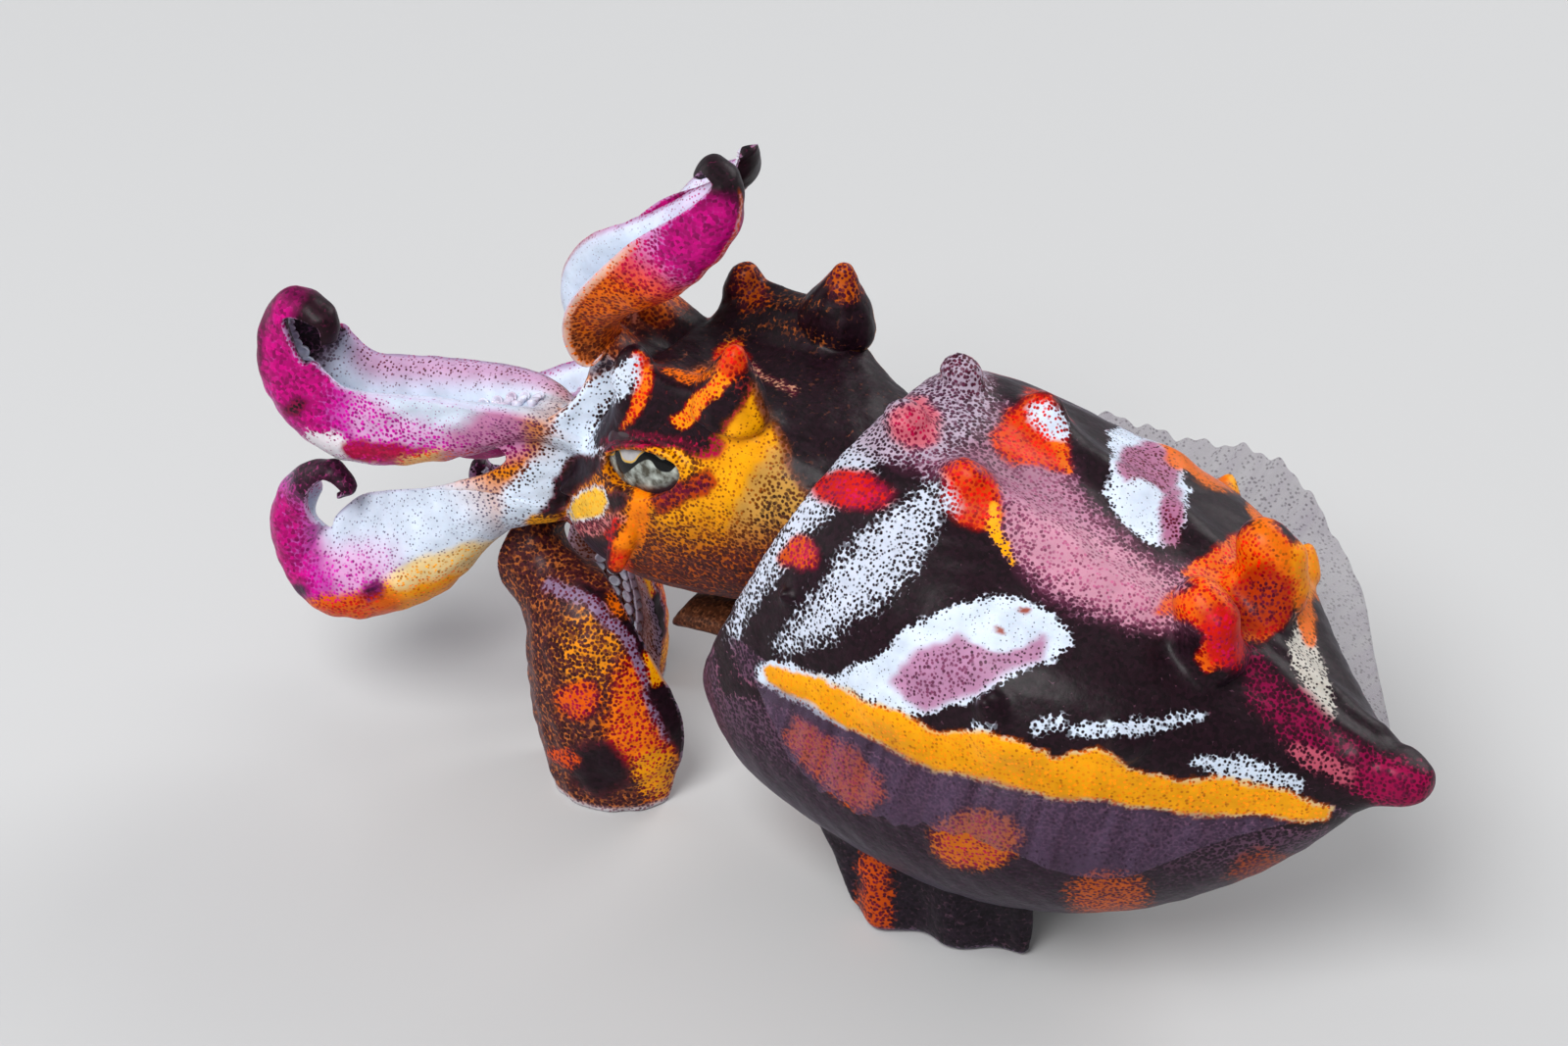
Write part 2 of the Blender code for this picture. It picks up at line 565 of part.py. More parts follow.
# root to tip of each arm: place (x, y, z), way its sucker side faces (x, y, z), half width over the curve,
# thickness, how far round each side curls and how far its sides lean toward the tip, both in degrees
ARMS = {
    "arm_left_1": (
        (-38.0, -3.5, 49.0, -0.5, 0.0, -0.9, 2.7, 4.4, 28, 0),
        (-42.6, -4.4, 52.4, -0.7, -0.9, -0.1, 7.0, 4.0, 66, 0),
        (-39.4, -5.8, 58.2, -1.0, -0.6, 0.3, 8.8, 3.0, 84, 0),
        (-30.6, -7.4, 64.4, -0.8, -0.2, 0.5, 9.6, 2.6, 98, 0),
        (-25.2, -7.0, 71.4, -0.9, -0.25, 0.3, 7.4, 2.2, 92, 4),
        (-24.8, -6.4, 76.0, -0.9, -0.2, -0.1, 3.6, 1.8, 66, 28),
        (-27.4, -6.0, 77.4, -0.4, 0.0, -0.9, 2.2, 1.6, 55, 0),
        (-28.8, -6.0, 75.8, 0.6, 0.0, -0.8, 1.4, 1.2, 40, 0),
    ),
    "arm_right_1": (
        (-38.0, 3.5, 49.0, -0.5, 0.0, -0.9, 2.7, 4.4, 28, 0),
        (-42.4, 3.9, 52.0, -0.9, -0.1, -0.4, 4.4, 4.0, 60, 0),
        (-42.8, 5.8, 56.6, -1.0, 0.0, 0.2, 6.4, 3.2, 80, 0),
        (-38.8, 6.6, 62.0, -0.8, 0.0, 0.5, 6.2, 2.6, 85, 0),
        (-33.8, 6.2, 67.2, -0.7, 0.0, 0.7, 4.4, 2.4, 80, 0),
        (-31.4, 4.8, 70.2, -0.7, 0.0, 0.7, 2.6, 2.0, 60, 0),
        (-30.6, 4.0, 73.0, -0.9, 0.0, 0.4, 1.4, 1.4, 40, 0),
    ),
    "arm_left_2": (
        (-40.7, -7.6, 42.5, -0.4, 0.5, 0.8, 2.8, 4.4, 28, 0),
        (-47.0, -9.6, 43.0, 0.0, 0.2, 1.0, 7.6, 4.0, 65, 0),
        (-55.6, -12.4, 38.8, 0.1, 0.15, 1.0, 11.6, 3.2, 86, 0),
        (-64.4, -15.8, 36.4, 0.1, 0.2, 1.0, 13.2, 2.6, 92, 8),
        (-71.0, -17.6, 39.2, 0.65, 0.3, 0.7, 13.0, 2.4, 94, 20),
        (-74.2, -18.2, 46.0, 1.0, 0.3, 0.1, 9.4, 2.2, 86, 14),
        (-71.4, -18.2, 52.8, 0.4, 0.2, -0.9, 3.8, 2.0, 70, 6),
        (-66.6, -18.0, 52.4, -0.9, 0.1, -0.4, 2.0, 1.6, 55, 0),
        (-66.2, -18.0, 49.6, -1.0, 0.1, 0.4, 1.4, 1.2, 40, 0),
    ),
    "arm_right_2": (
        (-40.7, 7.6, 42.5, -0.4, -0.5, 0.8, 2.8, 4.4, 28, 0),
        (-48.0, 9.4, 39.6, 0.0, -0.2, 1.0, 4.4, 3.8, 60, 0),
        (-54.5, 10.5, 31.5, 0.2, -0.1, 1.0, 7.0, 2.8, 80, 0),
        (-62.0, 8.5, 26.0, 0.5, -0.1, 0.9, 7.6, 2.4, 85, 0),
        (-69.0, 6.0, 24.0, 0.8, -0.2, 0.6, 6.2, 2.2, 80, 0),
        (-73.0, 4.5, 27.5, 0.9, -0.2, 0.0, 3.4, 2.0, 60, 0),
        (-71.4, 4.0, 31.0, 0.6, -0.1, -0.8, 1.6, 1.6, 40, 0),
    ),
    "arm_left_3": (
        (-44.3, -7.8, 34.6, -0.4, 0.5, 0.8, 2.7, 4.4, 28, 0),
        (-50.8, -11.8, 31.2, 0.0, 0.6, 0.9, 7.6, 3.8, 65, 0),
        (-57.4, -17.0, 23.4, 0.2, 0.72, 0.75, 13.2, 3.0, 82, -2),
        (-65.0, -20.2, 19.0, 0.2, 0.75, 0.75, 12.0, 2.6, 86, -2),
        (-70.4, -21.0, 21.2, 0.4, 0.85, 0.6, 9.6, 2.4, 86, 33),
        (-72.2, -20.8, 27.4, 0.85, 0.6, 0.1, 7.6, 2.2, 82, 26),
        (-69.8, -20.4, 32.8, 0.5, 0.4, -0.7, 4.2, 2.0, 70, 10),
        (-65.8, -20.0, 35.6, 0.3, 0.2, -1.0, 2.0, 1.4, 55, 0),
        (-63.2, -19.8, 34.0, -1.0, 0.1, -0.2, 1.1, 0.9, 35, 0),
        (-64.6, -19.8, 32.7, -0.3, 0.0, 1.0, 0.7, 0.7, 28, 0),
    ),
    "arm_right_3": (
        (-44.3, 7.8, 34.6, -0.4, -0.5, 0.8, 2.7, 4.4, 28, 0),
        (-50.4, 12.0, 30.0, 0.0, -0.5, 0.9, 4.4, 3.6, 60, 0),
        (-57.0, 18.0, 21.0, 0.1, -0.5, 0.9, 6.8, 2.8, 80, 0),
        (-64.0, 18.0, 12.5, 0.4, -0.4, 0.8, 7.0, 2.4, 85, 0),
        (-70.5, 16.2, 9.8, 0.6, -0.2, 0.7, 5.0, 2.2, 80, 0),
        (-74.0, 14.4, 11.6, 0.8, -0.1, 0.4, 2.8, 2.0, 60, 0),
        (-74.0, 13.6, 14.6, 0.9, 0.0, -0.2, 1.4, 1.4, 40, 0),
    ),
    "arm_left_4": (
        (-46.2, -3.5, 30.6, -0.4, 0.2, 1.0, 2.7, 4.2, 28, 0),
        (-49.6, -6.0, 27.2, -0.9, 0.5, 0.4, 4.2, 3.4, 60, 0),
        (-43.6, -11.8, 19.5, -0.1, 0.9, 0.2, 9.8, 3.0, 80, 0),
        (-41.2, -13.0, 9.0, 0.1, 1.0, 0.1, 14.2, 3.2, 85, 0),
        (-40.4, -12.0, 0.0, 0.1, 1.0, 0.0, 10.8, 3.6, 85, 0),
    ),
    "arm_right_4": (
        (-46.2, 3.5, 30.6, -0.4, -0.2, 1.0, 2.7, 4.2, 28, 0),
        (-50.6, 5.4, 27.0, -0.9, -0.5, 0.4, 3.6, 3.2, 50, 0),
        (-51.0, 9.4, 18.0, -0.2, -0.9, 0.2, 7.2, 3.0, 80, 0),
        (-51.4, 11.4, 9.0, 0.0, -1.0, 0.1, 9.8, 3.2, 85, 0),
        (-51.2, 11.2, 0.0, 0.0, -1.0, 0.0, 8.6, 3.6, 85, 0),
    ),
}
# where each arm's two lengths meet, as a share of its way from root to tip, and the share over which its
# ends turn to lie flat on the head's front or on the floor
ARM_BREAK = 0.42
ARM_TURN = 0.12
FOOT_TURN = 0.25


def arm_frame(controls, place):
    """Where an arm is at a share of its way, and the sizes of its trough there."""
    row = smooth(controls, [place])[0]
    ahead = smooth(controls, [min(place + ARM_LOOK, 1.0)])[0]
    behind = smooth(controls, [max(place - ARM_LOOK, 0.0)])[0]
    along = Vector(ahead[:3] - behind[:3]).normalized()
    crown = Vector((-1.0, 0.0, LEAN)).normalized()
    along = along.lerp(crown, max(1 - place / ARM_TURN, 0.0)).normalized()
    if controls[-1][2] == 0.0:
        down = Vector((0.0, 0.0, -1.0))
        along = along.lerp(down, max(1 - (1 - place) / FOOT_TURN, 0.0)).normalized()
    oral = Vector(row[3:6])
    oral = (oral - along * oral.dot(along)).normalized()
    across = along.cross(oral)
    oral = (oral + along * math.tan(math.radians(row[9]))).normalized()
    half, thick, curl = row[6], row[7], math.radians(row[8])
    fold = max(ARM_FOLD, FOLD_ROOM * thick * curl / half)
    if fold > 1.0 or controls[-1][2] == 0.0:
        fold = 1.0
    return Vector(row[:3]), oral, across, half, thick, curl, fold


def arm_skin(frame, s):
    """The outer and inner skin of an arm at s from -1 to 1 across it, and the way out between them."""
    middle, oral, across, half, thick, curl, fold = frame
    bent = min(max(s, -fold), fold)
    turn = bent / fold * curl
    radius = half * fold / curl
    hub = middle + oral * (radius - thick / 2)
    way = across * math.sin(turn) - oral * math.cos(turn)
    onward = across * math.cos(turn) + oral * math.sin(turn)
    outer = hub + way * radius + onward * half * (s - bent)
    deep = ARM_EDGE + (thick - ARM_EDGE) * math.sqrt(max(1 - s * s, 0.0))
    return outer, outer - way * deep, way


def arm_sections(controls, places):
    """Rings of an arm: an outer row from edge to edge and an inner row back."""
    rings = []
    for place in places:
        frame = arm_frame(controls, place)
        outer = []
        inner = []
        for k in range(ARM_ROWS):
            out, into, _ = arm_skin(frame, 2 * k / (ARM_ROWS - 1) - 1)
            outer.append(tuple(out))
            inner.append(tuple(into))
        rings.append(outer + inner[::-1])
    return rings


def sucker(foot, way, radius):
    """A short cup standing on an arm's inner skin, with its root sunk in the arm."""
    side = way.orthogonal().normalized()
    other = way.cross(side)
    rings = []
    for share, reach in SUCKER_PROFILE:
        ring = []
        for k in range(SUCKER_SIDES):
            turn = 2 * math.pi * k / SUCKER_SIDES
            out = side * math.cos(turn) + other * math.sin(turn)
            ring.append(tuple(foot + (way * reach + out * share) * radius))
        rings.append(ring)
    points, faces = join_rings(rings)
    points[-1] = tuple(foot + way * SUCKER_HOLLOW * radius)
    return make_object("sucker", points, faces, (1, 1, 1))


def arm_suckers(controls, length, start, end):
    """Two staggered rows of suckers on a length of arm, getting smaller toward its tip."""
    made = []
    reach = SUCKERS_FROM * length
    row = 0
    while reach < SUCKERS_TO * length:
        place = reach / length
        frame = arm_frame(controls, place)
        radius = min(max(SUCKER_SIZE * frame[3], SUCKER_RADII[0]), SUCKER_RADII[1])
        _, skin, way = arm_skin(frame, SUCKER_ROWS[row])
        off_floor = skin.z > 1.3 * radius
        if off_floor and start + SUCKER_MARGIN < place < end - SUCKER_MARGIN:
            made.append(sucker(skin, -way, radius))
        reach += max(SUCKER_STEP * radius, SUCKER_LEAST_STEP)
        row = 1 - row
    return made


def keep_largest(obj):
    """Drops whatever loose scrap a union has left, so that the object is one closed surface."""
    shape = bmesh.new()
    shape.from_mesh(obj.data)
    left = set(shape.verts)
    islands = []
    while left:
        stack = [left.pop()]
        island = set(stack)
        while stack:
            for edge in stack.pop().link_edges:
                for vert in edge.verts:
                    if vert in left:
                        left.discard(vert)
                        island.add(vert)
                        stack.append(vert)
        islands.append(island)
    islands.sort(key=len)
    for island in islands[:-1]:
        bmesh.ops.delete(shape, geom=list(island), context="VERTS")
    bmesh.ops.triangulate(shape, faces=shape.faces)
    shape.to_mesh(obj.data)
    shape.free()


def moved_toward(place, other, distance):
    way = Vector(other) - Vector(place)
    return tuple(Vector(place) + way.normalized() * distance)


def build_arm(name, controls):
    """The two lengths of an arm, which meet face to face across a narrow gap."""
    length = 0.0
    for a, b in zip(controls, controls[1:]):
        length += (Vector(a[:3]) - Vector(b[:3])).length
    for piece, start, end in (("root", 0.0, ARM_BREAK), ("end", ARM_BREAK, 1.0)):
        count = max(4, round((end - start) * length / ARM_STEP))
        rings = arm_sections(controls, list(np.linspace(start, end, count)))
        joined, beside = (-1, -2) if piece == "root" else (0, 1)
        rings[joined] = [moved_toward(p, q, ARM_GAP / 2) for p, q in zip(rings[joined], rings[beside])]
        points, faces = plate(rings)
        arm = make_object(f"{name}_{piece}", points, faces, (0.35, 0.12, 0.15))
        join_to(arm, arm_suckers(controls, length, start, end))
        keep_largest(arm)


def build_arms():
    for name, controls in ARMS.items():
        build_arm(name, controls)


def main():
    for obj in list(bpy.data.objects):
        bpy.data.objects.remove(obj)
    mantle = build_mantle()
    build_head()
    build_eyes()
    build_fins(mantle)
    build_flaps(mantle)
    build_funnel()
    build_mouth()
    build_arms()


main()
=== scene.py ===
"""Flamboyant cuttlefish, a life-size still model: its looks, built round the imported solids.

X runs from the head at -X to the tail at +X, the animal's left side is at -Y and the floor is at Z = 0.
Places are in millimetres from the animal's own middle, and to_frame turns them into the frame's metres.
The skin's markings are laid on as an airbrush would, along one line of sight, and their places are given in
the sight's own right and down steps, of which 10.5 make about a millimetre.
"""

import math

import bpy
import numpy as np
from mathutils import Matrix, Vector
from mathutils.kdtree import KDTree


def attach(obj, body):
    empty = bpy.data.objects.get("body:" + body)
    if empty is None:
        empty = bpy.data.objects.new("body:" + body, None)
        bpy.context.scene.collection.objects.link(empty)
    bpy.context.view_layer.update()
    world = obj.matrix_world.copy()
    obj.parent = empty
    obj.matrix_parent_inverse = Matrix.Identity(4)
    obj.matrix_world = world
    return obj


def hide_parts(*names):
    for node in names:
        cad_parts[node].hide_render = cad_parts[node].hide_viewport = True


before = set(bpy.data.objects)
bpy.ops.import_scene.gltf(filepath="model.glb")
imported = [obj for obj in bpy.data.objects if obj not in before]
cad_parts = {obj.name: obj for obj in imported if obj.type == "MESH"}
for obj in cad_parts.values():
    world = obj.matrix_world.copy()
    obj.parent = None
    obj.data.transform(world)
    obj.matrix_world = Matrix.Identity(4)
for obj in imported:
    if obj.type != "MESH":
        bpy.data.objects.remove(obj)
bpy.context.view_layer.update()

MM = 0.001
# where the animal's own middle lies in the frame
MIDDLE = np.array((12.97, -2.1, 0.0))

# the photograph's view: degrees round and above, distance, lens and what it looks at
VIEW_ROUND = 35.0
VIEW_ABOVE = 35.0
VIEW_DISTANCE = 423.3
VIEW_LENS = 100.0
VIEW_TARGET = (-18.2, -7.6, 40.9)
VIEW_TURN = math.radians(VIEW_ROUND)
VIEW_RISE = math.radians(VIEW_ABOVE)
# the way back to the camera, and where it stands
VIEW_BACK = np.array((math.sin(VIEW_TURN) * math.cos(VIEW_RISE), -math.cos(VIEW_TURN) * math.cos(VIEW_RISE),
                      math.sin(VIEW_RISE)))
VIEW_FROM = np.array(VIEW_TARGET) + VIEW_BACK * VIEW_DISTANCE
# middle of the sight in its own steps, how many steps a slope of one makes, and steps to a millimetre
SIGHT_MIDDLE = (800.0, 533.5)
SIGHT_STEPS = 4444.4
SIGHT_STEPS_MM = 10.5
# the skin that faces the sight less squarely than this takes its twin's markings, over a soft edge
SIGHT_LEAST = 0.22
SIGHT_EDGE = 0.25

# spacing of the skin's points on the mantle and on the head
MANTLE_GRAIN = 0.4
HEAD_GRAIN = 0.34

EYE_PLACE = (-31.0, 7.6, 45.3)
EYE_RADIUS = 5.6
# half sizes of the eyeball, which is flatter in front than a ball
EYE_SIZES = (6.6, 6.2, 5.2)
EYE_FULLNESS = 0.62
# the middle of the eye's opening in the sight
EYE_SIGHT = (660.4, 473.0)

# linear colours of the skin
WHITE = (0.6, 0.67, 0.78)
INK = (0.009, 0.003, 0.0055)
BROWN = (0.1, 0.024, 0.012)
MAROON = (0.085, 0.009, 0.02)
MAUVE = (0.3, 0.13, 0.2)
LILAC = (0.45, 0.27, 0.44)
PINK = (0.46, 0.075, 0.33)
MAGENTA = (0.33, 0.006, 0.12)
CRIMSON = (0.36, 0.012, 0.05)
RED = (0.5, 0.022, 0.018)
ORANGE = (0.7, 0.13, 0.006)
YELLOW = (0.86, 0.35, 0.006)
VIOLET = (0.2, 0.13, 0.22)

# root to tip of each arm: place (x, y, z), way its sucker side faces (x, y, z), half width over the curve,
# thickness, how far round each side curls and how far the sides lean toward the tip, in degrees
ARMS = {
    "arm_left_1": (
        (-38.0, -3.5, 49.0, -0.5, 0.0, -0.9, 2.7, 4.4, 28, 0),
        (-42.6, -4.4, 52.4, -0.7, -0.9, -0.1, 7.0, 4.0, 66, 0),
        (-39.4, -5.8, 58.2, -1.0, -0.6, 0.3, 8.8, 3.0, 84, 0),
        (-30.6, -7.4, 64.4, -0.8, -0.2, 0.5, 9.6, 2.6, 98, 0),
        (-25.2, -7.0, 71.4, -0.9, -0.25, 0.3, 7.4, 2.2, 92, 4),
        (-24.8, -6.4, 76.0, -0.9, -0.2, -0.1, 3.6, 1.8, 66, 28),
        (-27.4, -6.0, 77.4, -0.4, 0.0, -0.9, 2.2, 1.6, 55, 0),
        (-28.8, -6.0, 75.8, 0.6, 0.0, -0.8, 1.4, 1.2, 40, 0),
    ),
    "arm_right_1": (
        (-38.0, 3.5, 49.0, -0.5, 0.0, -0.9, 2.7, 4.4, 28, 0),
        (-42.4, 3.9, 52.0, -0.9, -0.1, -0.4, 4.4, 4.0, 60, 0),
        (-42.8, 5.8, 56.6, -1.0, 0.0, 0.2, 6.4, 3.2, 80, 0),
        (-38.8, 6.6, 62.0, -0.8, 0.0, 0.5, 6.2, 2.6, 85, 0),
        (-33.8, 6.2, 67.2, -0.7, 0.0, 0.7, 4.4, 2.4, 80, 0),
        (-31.4, 4.8, 70.2, -0.7, 0.0, 0.7, 2.6, 2.0, 60, 0),
        (-30.6, 4.0, 73.0, -0.9, 0.0, 0.4, 1.4, 1.4, 40, 0),
    ),
    "arm_left_2": (
        (-40.7, -7.6, 42.5, -0.4, 0.5, 0.8, 2.8, 4.4, 28, 0),
        (-47.0, -9.6, 43.0, 0.0, 0.2, 1.0, 7.6, 4.0, 65, 0),
        (-55.6, -12.4, 38.8, 0.1, 0.15, 1.0, 11.6, 3.2, 86, 0),
        (-64.4, -15.8, 36.4, 0.1, 0.2, 1.0, 13.2, 2.6, 92, 8),
        (-71.0, -17.6, 39.2, 0.65, 0.3, 0.7, 13.0, 2.4, 94, 20),
        (-74.2, -18.2, 46.0, 1.0, 0.3, 0.1, 9.4, 2.2, 86, 14),
        (-71.4, -18.2, 52.8, 0.4, 0.2, -0.9, 3.8, 2.0, 70, 6),
        (-66.6, -18.0, 52.4, -0.9, 0.1, -0.4, 2.0, 1.6, 55, 0),
        (-66.2, -18.0, 49.6, -1.0, 0.1, 0.4, 1.4, 1.2, 40, 0),
    ),
    "arm_right_2": (
        (-40.7, 7.6, 42.5, -0.4, -0.5, 0.8, 2.8, 4.4, 28, 0),
        (-48.0, 9.4, 39.6, 0.0, -0.2, 1.0, 4.4, 3.8, 60, 0),
        (-54.5, 10.5, 31.5, 0.2, -0.1, 1.0, 7.0, 2.8, 80, 0),
        (-62.0, 8.5, 26.0, 0.5, -0.1, 0.9, 7.6, 2.4, 85, 0),
        (-69.0, 6.0, 24.0, 0.8, -0.2, 0.6, 6.2, 2.2, 80, 0),
        (-73.0, 4.5, 27.5, 0.9, -0.2, 0.0, 3.4, 2.0, 60, 0),
        (-71.4, 4.0, 31.0, 0.6, -0.1, -0.8, 1.6, 1.6, 40, 0),
    ),
    "arm_left_3": (
        (-44.3, -7.8, 34.6, -0.4, 0.5, 0.8, 2.7, 4.4, 28, 0),
        (-50.8, -11.8, 31.2, 0.0, 0.6, 0.9, 7.6, 3.8, 65, 0),
        (-57.4, -17.0, 23.4, 0.2, 0.72, 0.75, 13.2, 3.0, 82, -2),
        (-65.0, -20.2, 19.0, 0.2, 0.75, 0.75, 12.0, 2.6, 86, -2),
        (-70.4, -21.0, 21.2, 0.4, 0.85, 0.6, 9.6, 2.4, 86, 33),
        (-72.2, -20.8, 27.4, 0.85, 0.6, 0.1, 7.6, 2.2, 82, 26),
        (-69.8, -20.4, 32.8, 0.5, 0.4, -0.7, 4.2, 2.0, 70, 10),
        (-65.8, -20.0, 35.6, 0.3, 0.2, -1.0, 2.0, 1.4, 55, 0),
        (-63.2, -19.8, 34.0, -1.0, 0.1, -0.2, 1.1, 0.9, 35, 0),
        (-64.6, -19.8, 32.7, -0.3, 0.0, 1.0, 0.7, 0.7, 28, 0),
    ),
    "arm_right_3": (
        (-44.3, 7.8, 34.6, -0.4, -0.5, 0.8, 2.7, 4.4, 28, 0),
        (-50.4, 12.0, 30.0, 0.0, -0.5, 0.9, 4.4, 3.6, 60, 0),
        (-57.0, 18.0, 21.0, 0.1, -0.5, 0.9, 6.8, 2.8, 80, 0),
        (-64.0, 18.0, 12.5, 0.4, -0.4, 0.8, 7.0, 2.4, 85, 0),
        (-70.5, 16.2, 9.8, 0.6, -0.2, 0.7, 5.0, 2.2, 80, 0),
        (-74.0, 14.4, 11.6, 0.8, -0.1, 0.4, 2.8, 2.0, 60, 0),
        (-74.0, 13.6, 14.6, 0.9, 0.0, -0.2, 1.4, 1.4, 40, 0),
    ),
    "arm_left_4": (
        (-46.2, -3.5, 30.6, -0.4, 0.2, 1.0, 2.7, 4.2, 28, 0),
        (-49.6, -6.0, 27.2, -0.9, 0.5, 0.4, 4.2, 3.4, 60, 0),
        (-43.6, -11.8, 19.5, -0.1, 0.9, 0.2, 9.8, 3.0, 80, 0),
        (-41.2, -13.0, 9.0, 0.1, 1.0, 0.1, 14.2, 3.2, 85, 0),
        (-40.4, -12.0, 0.0, 0.1, 1.0, 0.0, 10.8, 3.6, 85, 0),
    ),
    "arm_right_4": (
        (-46.2, 3.5, 30.6, -0.4, -0.2, 1.0, 2.7, 4.2, 28, 0),
        (-50.6, 5.4, 27.0, -0.9, -0.5, 0.4, 3.6, 3.2, 50, 0),
        (-51.0, 9.4, 18.0, -0.2, -0.9, 0.2, 7.2, 3.0, 80, 0),
        (-51.4, 11.4, 9.0, 0.0, -1.0, 0.1, 9.8, 3.2, 85, 0),
        (-51.2, 11.2, 0.0, 0.0, -1.0, 0.0, 8.6, 3.6, 85, 0),
    ),
}
ARM_NAMES = list(ARMS)
# thickness of the arms' edges
ARM_EDGE = 0.7
# rise of the way that the roots set out, and the share of the arm over which it turns from that
ARM_LEAN = 0.45
ARM_TURN = 0.12
# share of the arm looked ahead and behind for its way
ARM_LOOK = 0.05
# least share of the width that bends round, and room left in the fold
ARM_FOLD = 0.6
FOLD_ROOM = 1.3
# share of a standing arm over which it turns straight down
FOOT_TURN = 0.25
ARM_RIPPLE = 0.12
ARM_RIPPLE_SIZE = 2.2
# steps along and round the finely seen left arms and the hidden right ones, and how much of the round is
# the outer skin
FINE_STEPS = (132, 90)
PLAIN_STEPS = (90, 60)
OUTER_SHARE = 0.6
# how far each root is sunk in the head, and the share of the arm over which that fades
ROOT_SINK = 1.6
ROOT_FADE = 0.1
# share of an arm that the head's skin grows out along, its steps along and round, the share over which it
# fades, how much narrower it becomes, and how far it stands proud of and then under the arm's skin
STUB_REACH = 0.26
STUB_STEPS = (24, 40)
STUB_FADE = 0.17
STUB_NARROW = 0.14
STUB_PROUD = 0.25
STUB_UNDER = 0.35

# skin stretched between neighbouring arms: first arm and its place across, second arm and its own, how far
# out each reaches, and how far the free edge hangs back in its middle
WEBS = (
    ("arm_left_1", 0.75, "arm_left_2", -0.8, 0.16, 0.11, 0.35),
    ("arm_left_2", -0.3, "arm_left_3", -0.95, 0.22, 0.16, 0.4),
    ("arm_left_3", 0.0, "arm_left_4", 0.1, 0.15, 0.36, 0.4),
    ("arm_left_1", -0.3, "arm_right_1", 0.3, 0.24, 0.24, 0.3),
    ("arm_right_1", -0.75, "arm_right_2", 0.8, 0.16, 0.12, 0.35),
    ("arm_right_2", 0.3, "arm_right_3", 0.9, 0.18, 0.14, 0.4),
    ("arm_right_3", 0.0, "arm_right_4", -0.1, 0.14, 0.3, 0.4),
)
WEB_THICK = 1.2
WEB_STEPS = 20
# how deep in the arms' flesh the webs end, 0 at the outer skin
WEB_DEPTH = 0.3

# the yellow band along the left fin's root in the sight, and its half widths
FIN_BAND = ((788, 688), (823, 703), (864, 726), (910, 746), (956, 767), (997, 768), (1034, 781),
            (1075, 795), (1121, 791), (1153, 804), (1199, 813), (1245, 813), (1291, 818), (1350, 830))
FIN_BAND_WIDTHS = (8, 12, 15, 15, 17, 21, 19, 17, 22, 16, 14, 16, 14, 6)

# height of the flaps' feet, and how far the flaps above them are raised into the mantle
FLAP_FOOT = 4.0
FLAP_SINK = 1.2

# soft rises of the mantle on both sides: their line from foot to foot (x, y, z), reach and height
MANTLE_RISES = (
    (((-6.6, -4.8, 56.4), (-6.0, -4.8, 55.6)), 2.2, 1.7),
    (((1.0, -6.6, 53.0), (1.9, -6.5, 52.4)), 2.0, 2.0),
    (((2.0, -6.5, 52.0), (7.0, -6.0, 51.0), (13.0, -6.0, 49.5)), 2.5, 1.2),
    (((18.0, -6.2, 48.0), (24.0, -6.0, 48.0)), 2.5, 1.2),
    (((26.6, -5.8, 49.8), (28.6, -6.0, 48.4)), 2.4, 1.7),
    (((29.6, -6.4, 47.0), (30.6, -7.0, 45.0)), 1.9, 1.0),
    (((10.2, -14.8, 45.6), (11.4, -14.8, 45.4)), 2.3, 1.9),
    (((2.5, -21.9, 36.2), (5.0, -22.0, 36.2)), 2.4, 0.8),
    (((15.0, -21.2, 37.8), (17.5, -20.6, 37.8)), 2.4, 0.8),
    (((32.0, -1.0, 42.6), (37.0, -1.4, 39.0), (42.0, -1.2, 37.0)), 1.8, 0.9),
    (((42.5, -2.0, 35.4), (43.5, -2.2, 34.6)), 1.0, 0.7),
    (((45.8, -1.6, 35.2), (46.2, -1.6, 34.8)), 0.9, 0.6),
)
HEAD_RISES = (
    (((-34.8, -9.6, 54.0), (-34.0, -11.4, 51.0)), 2.2, 0.8),
    (((-23.6, -9.2, 54.0), (-19.5, -9.2, 52.0)), 3.4, 1.1),
    (((-30.5, -8.4, 53.0), (-27.0, -8.6, 53.2)), 2.8, 0.8),
    (((-31.8, -13.4, 42.0), (-33.2, -15.4, 34.5)), 1.5, 0.6),
)


def to_frame(places):
    """Places in the animal's millimetres, as metres in the frame."""
    return (np.asarray(places, float) + MIDDLE) * MM


def own_points(piece):
    """A piece's points as its mesh keeps them."""
    flat = np.empty(len(piece.data.vertices) * 3, np.float32)
    piece.data.vertices.foreach_get("co", flat)
    return flat.reshape(-1, 3).astype(float)


def read_points(piece):
    """A piece's points in the animal's millimetres."""
    return own_points(piece) / MM - MIDDLE


def read_normals(piece):
    """The way out of a piece at each of its points."""
    flat = np.empty(len(piece.data.vertices) * 3, np.float32)
    piece.data.vertex_normals.foreach_get("vector", flat)
    return flat.reshape(-1, 3).astype(float)


def write_points(piece, points):
    """Moves a piece's points to places in the animal's millimetres."""
    piece.data.vertices.foreach_set("co", to_frame(points).astype(np.float32).ravel())
    piece.data.update()


def select_only(*pieces):
    """Selects these pieces and nothing else, the first of them active."""
    bpy.ops.object.select_all(action="DESELECT")
    for piece in pieces:
        piece.select_set(True)
    bpy.context.view_layer.objects.active = pieces[0]


def finish_with(piece, kind, **settings):
    """Adds a modifier to a piece, sets it and applies it."""
    modifier = piece.modifiers.new(kind.title(), kind)
    for name, value in settings.items():
        setattr(modifier, name, value)
    select_only(piece)
    bpy.ops.object.modifier_apply(modifier=modifier.name)


def join_into(name, pieces):
    """Joins pieces into one under a new name."""
    select_only(*pieces)
    bpy.ops.object.join()
    joined = bpy.context.object
    joined.name = name
    joined.data.name = name
    return joined


